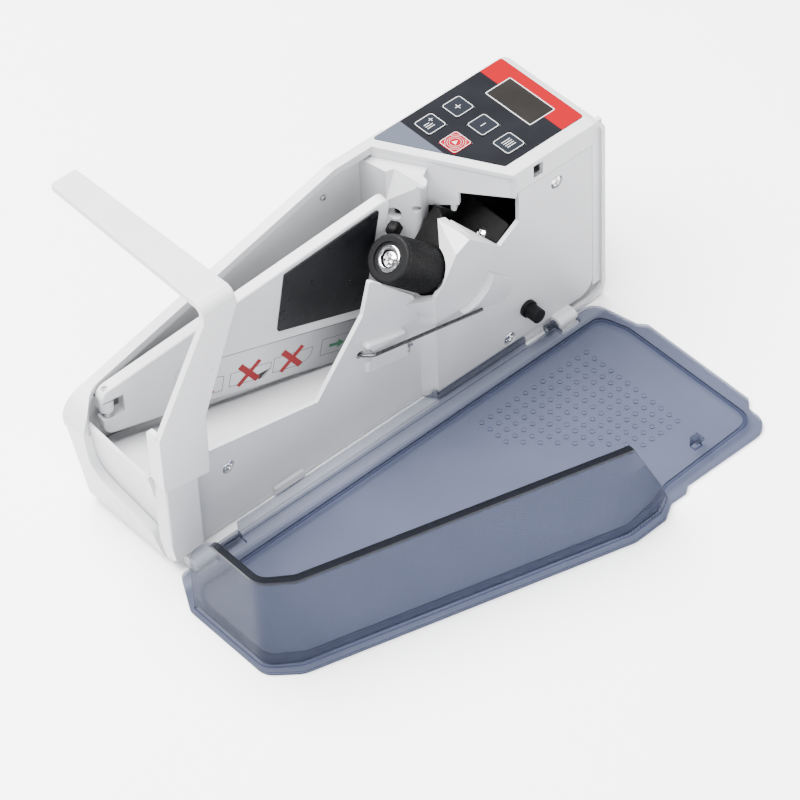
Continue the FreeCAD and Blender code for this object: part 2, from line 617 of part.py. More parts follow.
def bearing_bushes():
    rings = []
    for s in (EAR_1, EAR_2):
        sleeve = Part.makeCylinder(4.0, EAR_T, V(0, 0, s))
        rings.append(sleeve.cut(Part.makeCylinder(SHAFT_R + RUN_GAP, 10, V(0, 0, s - 4))))
    return on_drive(Part.Compound(rings))


def retard_pad():
    """Small rubber stud that holds the second note back, on the partition."""
    normal = V(-0.86, -0.5, 0)
    pad = rod(V(0, 0, 0), V(0, 0, 1), 4.0, 6.0)
    pad = soften(pad, 1.6, lambda e: e.Closed and e.BoundBox.ZMin > 5.9)
    return facing(pad, V(43.7, 7.2, 82.5), normal)


def note_sensor():
    """Forked light barrier behind the face, under the roller."""
    fork = box(40, 46, -29.9, -17.9, 36, 38.5)
    legs = [box(40, 46, -29.9, -26.9, 38, 46), box(40, 46, -20.9, -17.9, 38, 46)]
    return fuse([fork] + legs)


# ---------------------------------------------------------------- hopper plate
def hopper_plate():
    half = PLATE_T / 2
    plate = plate_xz([(-3.6, 49.8, 6), (53.6, 39.2), (139.0, 20.7, 3), (159.4, 114.2, 4),
                      (-3.6, 76.2, 6)], -half, half)
    plate = soften(plate, 1.0, lambda e: e.BoundBox.YMax < -half + 0.01 and e.BoundBox.XLength > 60)
    notch = box(-8, 8.0, -10, 10, 59.4, 70.6)
    bore = rod(V(0, 0, 40), V(0, 0, 1), PIN_R, 45)
    return on_plate(cut(plate, [notch, bore]))


def plate_pivot_pin():
    """Steel pin, fixed in the plate's two lugs; it turns in the shell's bush."""
    return on_plate(rod(V(0, 0, 51.5), V(0, 0, 1), PIN_R, 24.6))


def plate_spring():
    """Torsion spring round the pin, under the bush."""
    helix = Part.makeHelix(0.9, 2.7, 2.35)
    wire = Part.Wire(Part.makeCircle(0.3, V(2.35, 0, 0), V(0, 1, 0)))
    coil = Part.Wire(helix.Edges).makePipeShell([wire], True, True)
    coil.translate(V(PIVOT.x, PIVOT.y, 60.1))
    return coil


def note_pad():
    pad = plate_xz([(91.8, 63.4, 1.5), (140.0, 51.6, 3), (151.8, 110.2, 1.5), (97.8, 97.2, 1.5)],
                   -PLATE_T / 2 - 0.8, -PLATE_T / 2)
    return on_plate(pad)


def plate_label():
    label = plate_xz([(31.0, 45.4, 1), (133.4, 22.6), (138.5, 46.2, 1), (36.6, 69.6, 2)],
                     -PLATE_T / 2 - 0.25, -PLATE_T / 2)
    return on_plate(label)


# ---------------------------------------------------------------- arm
def arm():
    """L-shaped note arm: sleeve on the column, leaning upright, leg to the back."""
    front_y = COLUMN_FACE_Y - 0.25
    strap = plate_xz([(-137.0, 63.8, 0.8), (-110.4, 59.0, 0.8), (-110.0, 95.0, 6), (-86.6, 152.5),
                      (-87.6, ARM_TOP_Z - 4), (-105.6, ARM_TOP_Z - 4), (-106.4, 150.0),
                      (-137.0, 97.3, 6)], front_y - ARM_T, front_y)
    leg = plate_xy([(-105.9, front_y - ARM_T + 4), (-87.3, front_y - ARM_T + 4), (-89.6, ARM_BACK_Y, 1.5),
                    (-104.5, ARM_BACK_Y, 1.5)], ARM_TOP_Z - ARM_T, ARM_TOP_Z)
    bend = elbow(front_y)
    flange = plate_yz([(front_y - 0.5, 63.3), (front_y - 0.5, 98.5), (-28.0, 98.5, 2), (-28.0, 68.0)],
                      -137.0, COLUMN[0] - 0.2)
    inner = plate_yz([(front_y - 0.5, 59), (front_y - 0.5, 96), (-27.0, 96), (-27.0, 66)],
                     COLUMN[1] + 0.2, COLUMN[1] + 2.0)
    return fuse([strap, leg, bend, flange, inner])


def elbow(front_y):
    """Rounded bend between the upright and the leg."""
    outer, inner = 5.0, 5.0 - ARM_T
    centre = V(-106.1, front_y - ARM_T + outer, ARM_TOP_Z - outer)
    ring = Part.makeCylinder(outer, 18.6, centre, V(1, 0, 0))
    ring = ring.cut(Part.makeCylinder(inner, 20, centre - V(0.5, 0, 0), V(1, 0, 0)))
    quarter = box(-107, -87, front_y - ARM_T - 1, centre.y, centre.z, ARM_TOP_Z + 1)
    return ring.common(quarter)


# ---------------------------------------------------------------- cover
def cover_outline(inset):
    """Plan of the open cover, moved inwards by inset."""
    i = inset
    return [
        (-131.6 + i, COVER_BACK_Y - i, 4), (132.0 - i, COVER_BACK_Y - 0.6 - i, 9), (137.5 - i, -62.0, 2),
        (141.0 - i, -66.0, 2), (141.0 - i, -136.0, 2), (136.3 - i, -141.0, 2), (136.3 - i, -156.0 + i, 10),
        (81.0 + i * 0.4, -156.0 + i, 1.5), (76.5 + i * 0.4, -159.0 + i, 1.5), (67.0, -159.0 + i, 3),
        (58.0, -164.6 + i, 4), (38.0, -165.2 + i, 12), (-128.0 + i * 0.5, -119.8 + i, 13),
        (-142.0 + i, -108.0 + i * 0.6, 9),
        (-142.0 + i, -54.5, 8),
    ]


def cover():
    floor = plate_xy(cover_outline(0), COVER_LOW, COVER_TOP)
    # raised double rib inside the edge
    ring_out = plate_xy(rib_outline(0), COVER_TOP - 0.2, COVER_TOP + 1.1)
    ring_in = plate_xy(rib_outline(1.6), COVER_TOP - 0.5, COVER_TOP + 2)
    rib = ring_out.cut(ring_in)
    wall = standing_wall()
    rim_low = box(-95, 88, COVER_BACK_Y - 2, COVER_BACK_Y + 2.0, COVER_LOW + 0.9, COVER_TOP)
    hinge_rim = fuse([rim_low, box(-95, STEP_X - 2, COVER_BACK_Y + 0.4, COVER_BACK_Y + 2.0, COVER_LOW + 0.9, 10),
                      box(-95, 88, COVER_BACK_Y + 0.4, COVER_BACK_Y + 2.0, COVER_LOW + 0.9, 7)])
    barrels = []
    for x0, x1 in COVER_BARRELS:
        barrel = rod(V(x0, HINGE_Y, HINGE_Z), V(1, 0, 0), 2.6, x1 - x0)
        foot = box(x0, x1, HINGE_Y - 5.5, HINGE_Y - 0.5, COVER_LOW + 0.2, HINGE_Z)
        barrels.append(fuse([barrel, foot]))
    hook = plate_yz([(-143.5, COVER_TOP - 0.3), (-139.5, COVER_TOP - 0.3), (-139.5, 9.2),
                     (-144.6, 9.2, 0.3), (-144.6, 7.6), (-141.6, 7.4)], 97.8, 102.6)
    dimples = [Part.makeCylinder(DIMPLE_R, DIMPLE_DEPTH + 1, V(x, y, COVER_TOP - DIMPLE_DEPTH))
               for x, y in dimple_places()]
    body = fuse([floor, rib, wall, hinge_rim, hook] + barrels)
    bores = [rod(V(x0 - 1, HINGE_Y, HINGE_Z), V(1, 0, 0), HINGE_PIN_R + RUN_GAP, x1 - x0 + 2)
             for x0, x1 in COVER_BARRELS]
    relief = [box(x0 - 0.5, x1 + 0.5, HINGE_Y - 4.6, HINGE_Y + 6, -1, 12) for x0, x1 in SHELL_KNUCKLES]
    return cut(body, bores + relief + [Part.Compound(dimples)])


def rib_outline(inset):
    i = inset
    return [
        (-133.0 + i, HINGE_Y - 12.0 - i, 8), (127.0 - i, HINGE_Y - 9.5 - i, 7), (132.0 - i, -62.0, 12),
        (132.5 - i, -148.5 + i, 9), (72.0, -150.8 + i, 5), (60.0, -154.8 + i, 3), (41.0, -157.5 + i, 10),
        (-121.0 + i, -113.5 + i, 12), (-136.2 + i, -103.0 + i, 10), (-136.2 + i, -60.0, 12),
    ]


def wall_path(inset):
    """Plan line of the standing wall, from the left hinge round to the grip end."""
    i = inset
    return [(-140.6 + i, HINGE_Y - 20), (-140.6 + i, -106.5 + i * 0.5, 11), (-126.6 + i * 0.6, -117.2 + i, 11),
            (38.0, -162.2 + i, 10), (57.8, -161.6 + i, 4), (67.5 + i * 0.2, -156.4 + i)]


def standing_wall():
    """Wall that closes the hopper's mouth when the cover is shut."""
    outer = wall_path(0)
    inner = wall_path(COVER_WALL_T)[::-1]
    band = plate_xy([p[:2] if k in (0, len(outer) - 1) else p for k, p in enumerate(outer)]
                    + [(p[0], p[1]) if k in (0, len(inner) - 1) else (p[0], p[1], max(p[2] - 2.2, 1))
                       for k, p in enumerate(inner)], COVER_TOP - 0.3, WALL_TOP)
    # curved edge by the left hinge
    edge = Part.Wire([
        Part.LineSegment(V(0, HINGE_Y, -5), V(0, -54.6, -5)).toShape(),
        Part.LineSegment(V(0, -54.6, -5), V(0, -54.6, 24)).toShape(),
        Part.Arc(V(0, -54.6, 24), V(0, -60.6, 47), V(0, -76.6, 62)).toShape(),
        Part.LineSegment(V(0, -76.6, 62), V(0, -76.6, 80)).toShape(),
        Part.LineSegment(V(0, -76.6, 80), V(0, HINGE_Y, 80)).toShape(),
        Part.LineSegment(V(0, HINGE_Y, 80), V(0, HINGE_Y, -5)).toShape(),
    ])
    left_cut = Part.Face(edge).extrude(V(20, 0, 0))
    left_cut.translate(V(-HALF_L - 5, 0, 0))
    right_cut = plate_xz([(67.0, COVER_TOP - 0.3), (38.5, 62), (38.5, 80), (90, 80), (90, COVER_TOP - 0.3)],
                         -175, -140)
    wall = cut(band, [left_cut, right_cut])
    # thickened top edge
    bead_out = wall_path(-0.5)
    bead_in = wall_path(COVER_WALL_T + 0.9)[::-1]
    bead = plate_xy([p[:2] if k in (0, len(bead_out) - 1) else p for k, p in enumerate(bead_out)]
                    + [(p[0], p[1]) if k in (0, len(bead_in) - 1) else (p[0], p[1], max(p[2] - 3.0, 1))
                       for k, p in enumerate(bead_in)], WALL_TOP - 1.8, WALL_TOP)
    bead = cut(bead, [left_cut, right_cut])
    ribs = []
    for n in range(18):
        x = 64.0 - n * 1.9
        top = COVER_TOP + 3 + (67.0 - x) * 1.9
        ribs.append(grip_rib(x, 5.0, min(top, 5.0 + 40)))
    ribs = [r.cut(right_cut) for r in ribs]
    return fuse([wall, bead] + ribs)


def grip_rib(x, low, high):
    """One upright grip rib on the wall's outer face near its right end."""
    y = -162.4 if x > 38 else -162.4 + (38 - x) * 0.27
    if x > 57.8:
        y = -161.6 + (x - 57.8) * 0.54
    return box(x - 0.4, x + 0.4, y - 0.35, y + 1.2, low, high)


DIMPLE_R = 1.3
DIMPLE_DEPTH = 0.5
DIMPLE_FIRST = (105.8, -59.1)
DIMPLE_PITCH = (5.76, 5.83)
DIMPLE_COLUMNS = 13
DIMPLE_ROWS = 12
DIMPLE_CUT = 15                # column plus row beyond which the field is cut off aslant


def dimple_places():
    """Square field of shallow round recesses with one corner left out."""
    spots = []
    for row in range(DIMPLE_ROWS):
        for col in range(DIMPLE_COLUMNS):
            if row + col <= DIMPLE_CUT:
                spots.append((DIMPLE_FIRST[0] - col * DIMPLE_PITCH[0], DIMPLE_FIRST[1] - row * DIMPLE_PITCH[1]))
    return spots


HINGE_PIN_R = 1.2
COVER_BARRELS = ((-108.0, -96.5), (100.6, 106.4))
SHELL_KNUCKLES = ((-125.0, -112.5), (107.2, 118.6))


def hinge_knuckles():
    """Two white knuckle blocks moulded for the cover's pins, one piece each."""
    blocks = []
    for x0, x1 in SHELL_KNUCKLES:
        knuckle = rod(V(x0, HINGE_Y, HINGE_Z), V(1, 0, 0), 3.2, x1 - x0)
        web = box(x0, x1, HINGE_Y, SHELL_LIP_Y + 2.0, SOLE_Z + 0.3, HINGE_Z + 3.0)
        block = fuse([knuckle, web])
        blocks.append(block.cut(rod(V(x0 - 1, HINGE_Y, HINGE_Z), V(1, 0, 0), HINGE_PIN_R, x1 - x0 + 2)))
    return blocks


def cover_hinge_pins():
    pins = []
    for (x0, x1), (b0, b1) in zip(SHELL_KNUCKLES, COVER_BARRELS):
        pins.append(rod(V(min(x0, b0) + 0.3, HINGE_Y, HINGE_Z), V(1, 0, 0), HINGE_PIN_R,
                        max(x1, b1) - min(x0, b0) - 0.6))
    return Part.Compound(pins)


# ---------------------------------------------------------------- key deck
def key_places():
    return {
        "key_plus": (KEY_X[1], KEY_Y[0]), "key_minus": (KEY_X[1], KEY_Y[1]),
        "key_batch": (KEY_X[1], KEY_Y[2]), "key_add": (KEY_X[0], KEY_Y[0]),
        "key_start": (KEY_X[0], KEY_Y[1]),
    }


def key_cap(x, y):
    half = KEY / 2
    cap = plate_xy([(x - half, y - half, 1.4), (x + half, y - half, 1.4), (x + half, y + half, 1.4),
                    (x - half, y + half, 1.4)], DECK_Z - 1.0, KEY_TOP)
    cap = soften(cap, 0.25, lambda e: e.BoundBox.ZMin > KEY_TOP - 0.01)
    stem = rod(V(x, y, DECK_Z - 2.4), V(0, 0, 1), 2.2, 1.6)
    return fuse([cap, stem])


def deck_overlay():
    film = plate_xy([(84.6, -26.6, 1.5), (135.3, -26.6, 1.5), (135.3, 31.4, 1.5), (52.0, 31.4, 1)],
                    DECK_Z, DECK_Z + OVERLAY_T)
    holes = [box(x - KEY / 2 - KEY_GAP, x + KEY / 2 + KEY_GAP, y - KEY / 2 - KEY_GAP,
                 y + KEY / 2 + KEY_GAP, DECK_Z - 1, DECK_Z + 2) for x, y in key_places().values()]
    holes.append(box(DISPLAY[0], DISPLAY[1], DISPLAY[2], DISPLAY[3], DECK_Z - 1, DECK_Z + 2))
    return cut(film, holes)


def display_window():
    x0, x1, y0, y1 = DISPLAY
    lens = box(x0 + 0.05, x1 - 0.05, y0 + 0.05, y1 - 0.05, DECK_Z - 2.0, DECK_Z + OVERLAY_T + 0.15)
    lip = box(x0 - 1.2, x1 + 1.2, y0 - 1.2, y1 + 1.2, DECK_Z - WALL - 1.0, DECK_Z - WALL - 0.02)
    core = box(x0 + 0.05, x1 - 0.05, y0 + 0.05, y1 - 0.05, DECK_Z - WALL - 0.5, DECK_Z - 1.5)
    return fuse([lens, core, lip])


BOARD_Z = 108.0
BOARD_T = 1.6


def display_module():
    x0, x1, y0, y1 = DISPLAY
    return box(x0 + 0.8, x1 - 0.8, y0 + 0.8, y1 - 0.8, BOARD_Z + BOARD_T, DECK_Z - WALL - 1.1)


def control_board():
    board = plate_xy([(88, -26), (133, -26), (133, 29), (64, 29), (64, 12)], BOARD_Z, BOARD_Z + BOARD_T)
    return board


def key_switches():
    done = []
    for x, y in key_places().values():
        base = box(x - 3, x + 3, y - 3, y + 3, BOARD_Z + BOARD_T, BOARD_Z + BOARD_T + 3.2)
        plunger = rod(V(x, y, BOARD_Z + BOARD_T + 3.2), V(0, 0, 1), 1.7, DECK_Z - 3.2 - BOARD_Z - BOARD_T - 3.2)
        done.append(fuse([base, plunger]))
    return Part.Compound(done)


# ---------------------------------------------------------------- knob, wire guide, power
KNOB_AT = V(91.3, FACE_Y, 24.1)
KNOB_STEM_R = 2.5
KNOB_R = 3.9
KNOB_LEN = 9.0
WIRE_AT = V(-8.5, TRAY_Y, 55.1)
WIRE_R = 0.95


def adjusting_knob():
    grip = ribbed_ring(KNOB_R, 30, 0.25, 0.8, 1.8, KNOB_LEN)
    flange = Part.makeCylinder(KNOB_R + 0.8, 2.0, V(0, 0, 0.15))
    core = Part.makeCylinder(1.0, KNOB_LEN)
    knob = fuse([grip, flange, core.cut(Part.makeCylinder(2, 0.2))])
    return facing(knob, KNOB_AT, V(0, -1, 0))


def knob_spindle():
    stem = rod(V(0, 0, -9.5), V(0, 0, 1), KNOB_STEM_R, 9.6)
    foot = rod(V(0, 0, -11.5), V(0, 0, 1), 4.2, 2.0)
    return facing(fuse([stem, foot]), KNOB_AT, V(0, -1, 0))


def wire_guide():
    """Chrome wire: hooked through the panel, bent, then straight along the face."""
    inside = V(WIRE_AT.x, TRAY_Y + 5.5, WIRE_AT.z)
    out = V(WIRE_AT.x, TRAY_Y - 0.6, WIRE_AT.z)
    bend = V(-4.5, -30.3, 55.7)
    tip = V(58.5, -37.7, 49.1)
    pieces = []
    knots = [inside, out, bend, tip]
    for a, b in zip(knots, knots[1:]):
        pieces.append(rod(a, b - a, WIRE_R, (b - a).Length))
    for p in knots[1:-1]:
        pieces.append(Part.makeSphere(WIRE_R, p))
    return fuse(pieces)


def wire_blade():
    """Flat steel end of the wire's return spring, in a slot beside the housing."""
    blade = plate_yz([(TRAY_Y - 3.6, 28.6, 0.8), (TRAY_Y - 2.4, 44.0), (TRAY_Y + 3.0, 44.0),
                      (TRAY_Y + 3.0, 42.4), (TRAY_Y - 1.2, 41.0)], 20.2, 22.2)
    return blade


def wire_collar():
    """Bush behind the panel that the wire turns in."""
    ring = rod(V(WIRE_AT.x, TRAY_Y + WALL, WIRE_AT.z), V(0, 1, 0), 3.6, 2.6)
    return ring.cut(rod(V(WIRE_AT.x, TRAY_Y, WIRE_AT.z), V(0, 1, 0), WIRE_R + RUN_GAP, 10))


def battery_recess():
    return box(68.0, HALF_L + 2, HALF_D - 1.7, HALF_D + 1, 14.0, 60.0)


def battery_door():
    door = box(68.3, HALF_L - 3.2, HALF_D - 1.55, HALF_D - 0.05, 14.3, 59.7)
    grips = [box(126 + n * 2.2, 127.1 + n * 2.2, HALF_D - 0.6, HALF_D + 1, 26, 48) for n in range(5)]
    return cut(door, grips)


def battery_bay():
    """Open tray for the cells, inside the back wall, with its divider ribs."""
    tray = box(71.0, 131.5, 16.0, HALF_D - WALL - 0.1, 16.5, 57.5)
    hollow = box(72.6, 129.9, 17.6, 40, 18.1, 55.9)
    rib = box(72.6, 129.9, 17.6, 24.0, 36.3, 37.7)
    return fuse([tray.cut(hollow), rib])


def battery_contacts():
    plates = []
    for x in (72.7, 129.3):
        for z in (26.5, 46.5):
            plates.append(box(x, x + 0.5, 19.5, 29.5, z - 5, z + 5))
    return Part.Compound(plates)


def power_jack():
    barrel = rod(V(HALF_L - 0.6, 6, 78), V(-1, 0, 0), 5.0, 12)
    nut = rod(V(HALF_L + 0.9, 6, 78), V(-1, 0, 0), 6.2, 0.85)
    bore = rod(V(HALF_L + 2, 6, 78), V(-1, 0, 0), 2.8, 11)
    pin = rod(V(HALF_L - 0.2, 6, 78), V(-1, 0, 0), 0.95, 10.5)
    return fuse([fuse([barrel, nut, rod(V(HALF_L + 0.1, 6, 78), V(-1, 0, 0), 5.0, 2)]).cut(bore), pin])


def switch_housing():
    frame = box(HALF_L - 9, HALF_L + 0.9, -0.5, 12.5, 90.5, 99.5)
    bezel = box(HALF_L + 0.05, HALF_L + 0.9, -1.8, 13.8, 89.2, 100.8)
    hollow = box(HALF_L - 7.5, HALF_L + 2, 0.7, 11.3, 91.7, 98.3)
    return fuse([frame, bezel]).cut(hollow)


def power_rocker():
    """Rocker that tips about a cross axis in its housing."""
    x = HALF_L
    rocker = plate_xy([(x - 5.2, 6.0), (x - 0.9, 1.2), (x + 0.2, 1.2), (x + 0.9, 6.0), (x + 2.2, 10.2),
                       (x - 0.4, 10.2)], 92.0, 98.0)
    return rocker


def main():
    shell = rear_shell()
    knuckles = hinge_knuckles()
    shell = fuse([shell] + knuckles)
    chassis = front_chassis()
    for block in knuckles:
        chassis = chassis.cut(block)
    save("rear_shell", shell.cut(chassis))
    save("front_chassis", chassis)
    pieces = {
        "rubber_feet": rubber_feet, "panel_screws": panel_screws, "back_screws": back_screws,
        "roller_sleeve": roller_sleeve, "roller_hub": roller_hub, "roller_washer": roller_washer,
        "roller_screw": roller_screw, "roller_shaft": roller_shaft, "roller_gear": roller_gear,
        "motor_pinion": motor_pinion, "motor_shaft": motor_shaft, "drive_motor": drive_motor,
        "drive_bracket": drive_bracket, "bracket_screw": bracket_screw, "bearing_bushes": bearing_bushes,
        "retard_pad": retard_pad, "note_sensor": note_sensor, "hopper_plate": hopper_plate,
        "plate_pivot_pin": plate_pivot_pin, "plate_spring": plate_spring, "note_pad": note_pad,
        "plate_label": plate_label, "note_arm": arm, "clear_cover": cover,
        "cover_hinge_pins": cover_hinge_pins, "deck_overlay": deck_overlay,
        "display_window": display_window, "display_module": display_module,
        "control_board": control_board, "key_switches": key_switches,
        "adjusting_knob": adjusting_knob, "knob_spindle": knob_spindle, "wire_guide": wire_guide,
        "wire_blade": wire_blade, "wire_collar": wire_collar, "battery_door": battery_door,
        "battery_bay": battery_bay, "battery_contacts": battery_contacts, "power_jack": power_jack,
        "switch_housing": switch_housing, "power_rocker": power_rocker,
    }
    for name, make in pieces.items():
        save(name, make())
    for name, (x, y) in key_places().items():
        save(name, key_cap(x, y))


main()
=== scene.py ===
"""Looks of the banknote counting machine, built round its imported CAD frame.

Sizes and places are in millimetres, and turned to metres where a mesh or a material is made. The
studio's lights, floor and camera are in metres.
"""
import json
import math

import bmesh
import bpy
from mathutils import Matrix, Vector


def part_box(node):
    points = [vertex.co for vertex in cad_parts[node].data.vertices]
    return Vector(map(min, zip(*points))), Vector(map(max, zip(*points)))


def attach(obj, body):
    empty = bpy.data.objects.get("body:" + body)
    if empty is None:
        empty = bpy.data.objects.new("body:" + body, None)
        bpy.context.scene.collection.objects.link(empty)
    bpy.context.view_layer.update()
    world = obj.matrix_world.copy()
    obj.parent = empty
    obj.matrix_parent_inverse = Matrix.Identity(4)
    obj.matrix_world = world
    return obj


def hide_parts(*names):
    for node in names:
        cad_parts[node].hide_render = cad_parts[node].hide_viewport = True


MM = 0.001

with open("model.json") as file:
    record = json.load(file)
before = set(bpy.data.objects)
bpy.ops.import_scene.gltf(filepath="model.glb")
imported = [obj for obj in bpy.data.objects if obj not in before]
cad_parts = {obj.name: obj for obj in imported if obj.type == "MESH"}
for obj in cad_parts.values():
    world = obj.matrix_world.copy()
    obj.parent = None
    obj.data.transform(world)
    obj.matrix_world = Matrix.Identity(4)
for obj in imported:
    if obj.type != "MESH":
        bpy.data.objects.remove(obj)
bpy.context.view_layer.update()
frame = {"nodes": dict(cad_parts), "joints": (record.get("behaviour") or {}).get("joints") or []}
nodes = frame["nodes"]


# ---------------------------------------------------------------- frame measures
def span(node):
    """Lowest and highest corner of a CAD node, in millimetres."""
    low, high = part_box(node)
    return low / MM, high / MM


joints = {j["name"]: j for j in frame["joints"]}
DECK_TOP = span("deck_overlay")[1].z
PIVOT = Vector(joints["plate_swing"]["pos_m"]) / MM
PLATE_YAW = math.radians(-8.0)                     # the hopper plate's turn round its pivot at rest
DRIVE_AXIS = Vector(joints["roller_spin"]["axis"])
DRIVE_SIDE = Vector((-DRIVE_AXIS.z, 0, DRIVE_AXIS.x))
DRIVE_END = Vector(joints["roller_spin"]["pos_m"]) / MM
WIRE_JOINT = Vector(joints["wire_swing"]["pos_m"]) / MM

# heights on the open cover, in millimetres, where its tint changes
PLATE_TOP = 2.5                                    # inner face of the flat panel
RIM_LOW = span("clear_cover")[1].z - 1.7           # underside of the bead along the wall
RIM_BAND = (RIM_LOW, RIM_LOW + 0.25)
WALL_BAND = (6.0, 9.0)
RIB_BAND = (PLATE_TOP + 0.04, PLATE_TOP + 1.3)
RECESS_BAND = (PLATE_TOP - 0.47, PLATE_TOP - 0.03)
CUT_EDGE_BAND = (0.34, 0.9)
# the paler tint near the hinge is painted light, offsetting the shade on the curved hinge flange
HINGE_STRIP_Y = -43.0                              # nearer the hinge it is paler and has no rib


# ---------------------------------------------------------------- node helpers
class Mat:
    """One procedural material being wired up."""

    def __init__(self, name):
        self.mat = bpy.data.materials.new(name)
        self.mat.use_nodes = True
        self.tree = self.mat.node_tree
        self.shader = self.tree.nodes["Principled BSDF"]
        self.out = self.tree.nodes["Material Output"]
        self.coord = self.add("ShaderNodeTexCoord").outputs["Object"]

    def add(self, kind, **inputs):
        node = self.tree.nodes.new(kind)
        for key, value in inputs.items():
            self.feed(node.inputs[key.replace("_", " ")], value)
        return node

    def feed(self, socket, value):
        if isinstance(value, bpy.types.NodeSocket):
            self.tree.links.new(value, socket)
        else:
            socket.default_value = value

    def set(self, **inputs):
        for key, value in inputs.items():
            self.feed(self.shader.inputs[key.replace("_", " ")], value)

    def noise(self, scale, detail=3.0, stretch=None):
        coord = self.coord
        if stretch:
            mapping = self.add("ShaderNodeMapping", Vector=coord, Scale=stretch)
            coord = mapping.outputs["Vector"]
        node = self.add("ShaderNodeTexNoise", Vector=coord, Scale=scale, Detail=detail)
        return node.outputs["Fac"]

    def remap(self, value, low, high, start=0.3, end=0.7):
        node = self.add("ShaderNodeMapRange", Value=value)
        for socket, number in zip(node.inputs[1:5], (start, end, low, high)):
            socket.default_value = number
        return node.outputs["Result"]

    def math(self, kind, a, b=0.0):
        node = self.tree.nodes.new("ShaderNodeMath")
        node.operation = kind
        self.feed(node.inputs[0], a)
        self.feed(node.inputs[1], b)
        return node.outputs["Value"]

    def mix(self, share, a, b):
        node = self.tree.nodes.new("ShaderNodeMix")
        node.data_type = "RGBA"
        self.feed(node.inputs["Factor"], share)
        self.feed(node.inputs["A"], a)
        self.feed(node.inputs["B"], b)
        return node.outputs["Result"]

    def axis(self, letter):
        return self.add("ShaderNodeSeparateXYZ", Vector=self.coord).outputs[letter]

    def soft_edges(self, radius):
        """Shading normal with rounded edges, and how near an edge a point is."""
        sharp, flat = 0.82, 0.995                  # how far the two normals agree there
        bevel = self.add("ShaderNodeBevel", Radius=radius * MM)
        bevel.samples = 4
        true_normal = self.add("ShaderNodeNewGeometry").outputs["True Normal"]
        dot = self.tree.nodes.new("ShaderNodeVectorMath")
        dot.operation = "DOT_PRODUCT"
        self.tree.links.new(bevel.outputs["Normal"], dot.inputs[0])
        self.tree.links.new(true_normal, dot.inputs[1])
        near = self.remap(dot.outputs["Value"], 1.0, 0.0, sharp, flat)
        return bevel.outputs["Normal"], near

    def bump(self, height, strength, depth, normal=None):
        node = self.add("ShaderNodeBump", Height=height, Strength=strength, Distance=depth * MM)
        if normal is not None:
            self.feed(node.inputs["Normal"], normal)
        return node.outputs["Normal"]


def rgb(red, green, blue):
    return (red, green, blue, 1.0)


def grey(value):
    return rgb(value, value, value)


def shaded(colour, factor, lift=0.0):
    """A colour made darker or lighter."""
    return rgb(*(c * factor + lift for c in colour[:3]))


# ---------------------------------------------------------------- materials
def moulded(name, colour, rough, edge, grain=0.12, shine=0.42):
    """Moulded plastic: faint mottle, spark-eroded grain, and a painted highlight that makes its
    edges lighter.
    """
    m = Mat(name)
    normal, near = m.soft_edges(edge)
    mottle = m.remap(m.noise(38.0, 4.0), 0.0, 1.0)
    base = m.mix(mottle, shaded(colour, 0.94), colour)
    # painted highlight: lighter colour near the edges, where light catches the rounded corners
    base = m.mix(m.math("MULTIPLY", near, 0.55), base, shaded(colour, 1.08))
    rough_map = m.remap(m.noise(160.0, 2.0), rough - 0.05, rough + 0.06)
    m.set(Base_Color=base, Roughness=rough_map, Specular_IOR_Level=shine,
          Normal=m.bump(m.noise(2600.0, 2.0), grain, 0.05, normal))
    return m.mat


def rubber(name, colour):
    """Matt rubber with a fine pitted skin, a little pale dust in the low spots and a painted
    highlight on its edges.
    """
    m = Mat(name)
    normal, near = m.soft_edges(0.15)
    dust = m.remap(m.noise(420.0, 5.0), 0.0, 0.35, 0.52, 0.8)
    base = m.mix(dust, colour, shaded(colour, 1.0, 0.004))
    # painted highlight: lighter colour near the edges
    base = m.mix(m.math("MULTIPLY", near, 0.3), base, shaded(colour, 2.0, 0.004))
    m.set(Base_Color=base, Roughness=m.remap(m.noise(900.0), 0.54, 0.72),
          Specular_IOR_Level=0.16,
          Normal=m.bump(m.noise(1900.0, 3.0), 0.3, 0.08, normal))
    return m.mat


def metal(name, colour, rough, stretch=(1.0, 1.0, 24.0), edge=0.12):
    """Bright metal with fine brush lines that break up its gloss."""
    m = Mat(name)
    normal, near = m.soft_edges(edge)
    lines = m.noise(420.0, 4.0, stretch)
    base = m.mix(m.remap(lines, 0.0, 1.0), shaded(colour, 0.86), colour)
    m.set(Base_Color=base, Metallic=1.0,
          Roughness=m.remap(lines, rough * 0.7, rough * 1.5 + 0.02),
          Normal=m.bump(lines, 0.08, 0.03, normal))
    return m.mat


def coated_sheet(name):
    """Black powder-coated steel, with a painted highlight that lightens its edges."""
    m = Mat(name)
    normal, near = m.soft_edges(0.2)
    base = m.mix(m.remap(m.noise(90.0), 0.0, 1.0), grey(0.0016), grey(0.0032))
    # painted highlight: lighter colour near the edges
    base = m.mix(m.math("MULTIPLY", near, 0.4), base, grey(0.02))
    m.set(Base_Color=base, Roughness=m.remap(m.noise(500.0), 0.36, 0.5),
          Specular_IOR_Level=0.16,
          Normal=m.bump(m.noise(1300.0, 4.0), 0.35, 0.06, normal))
    return m.mat


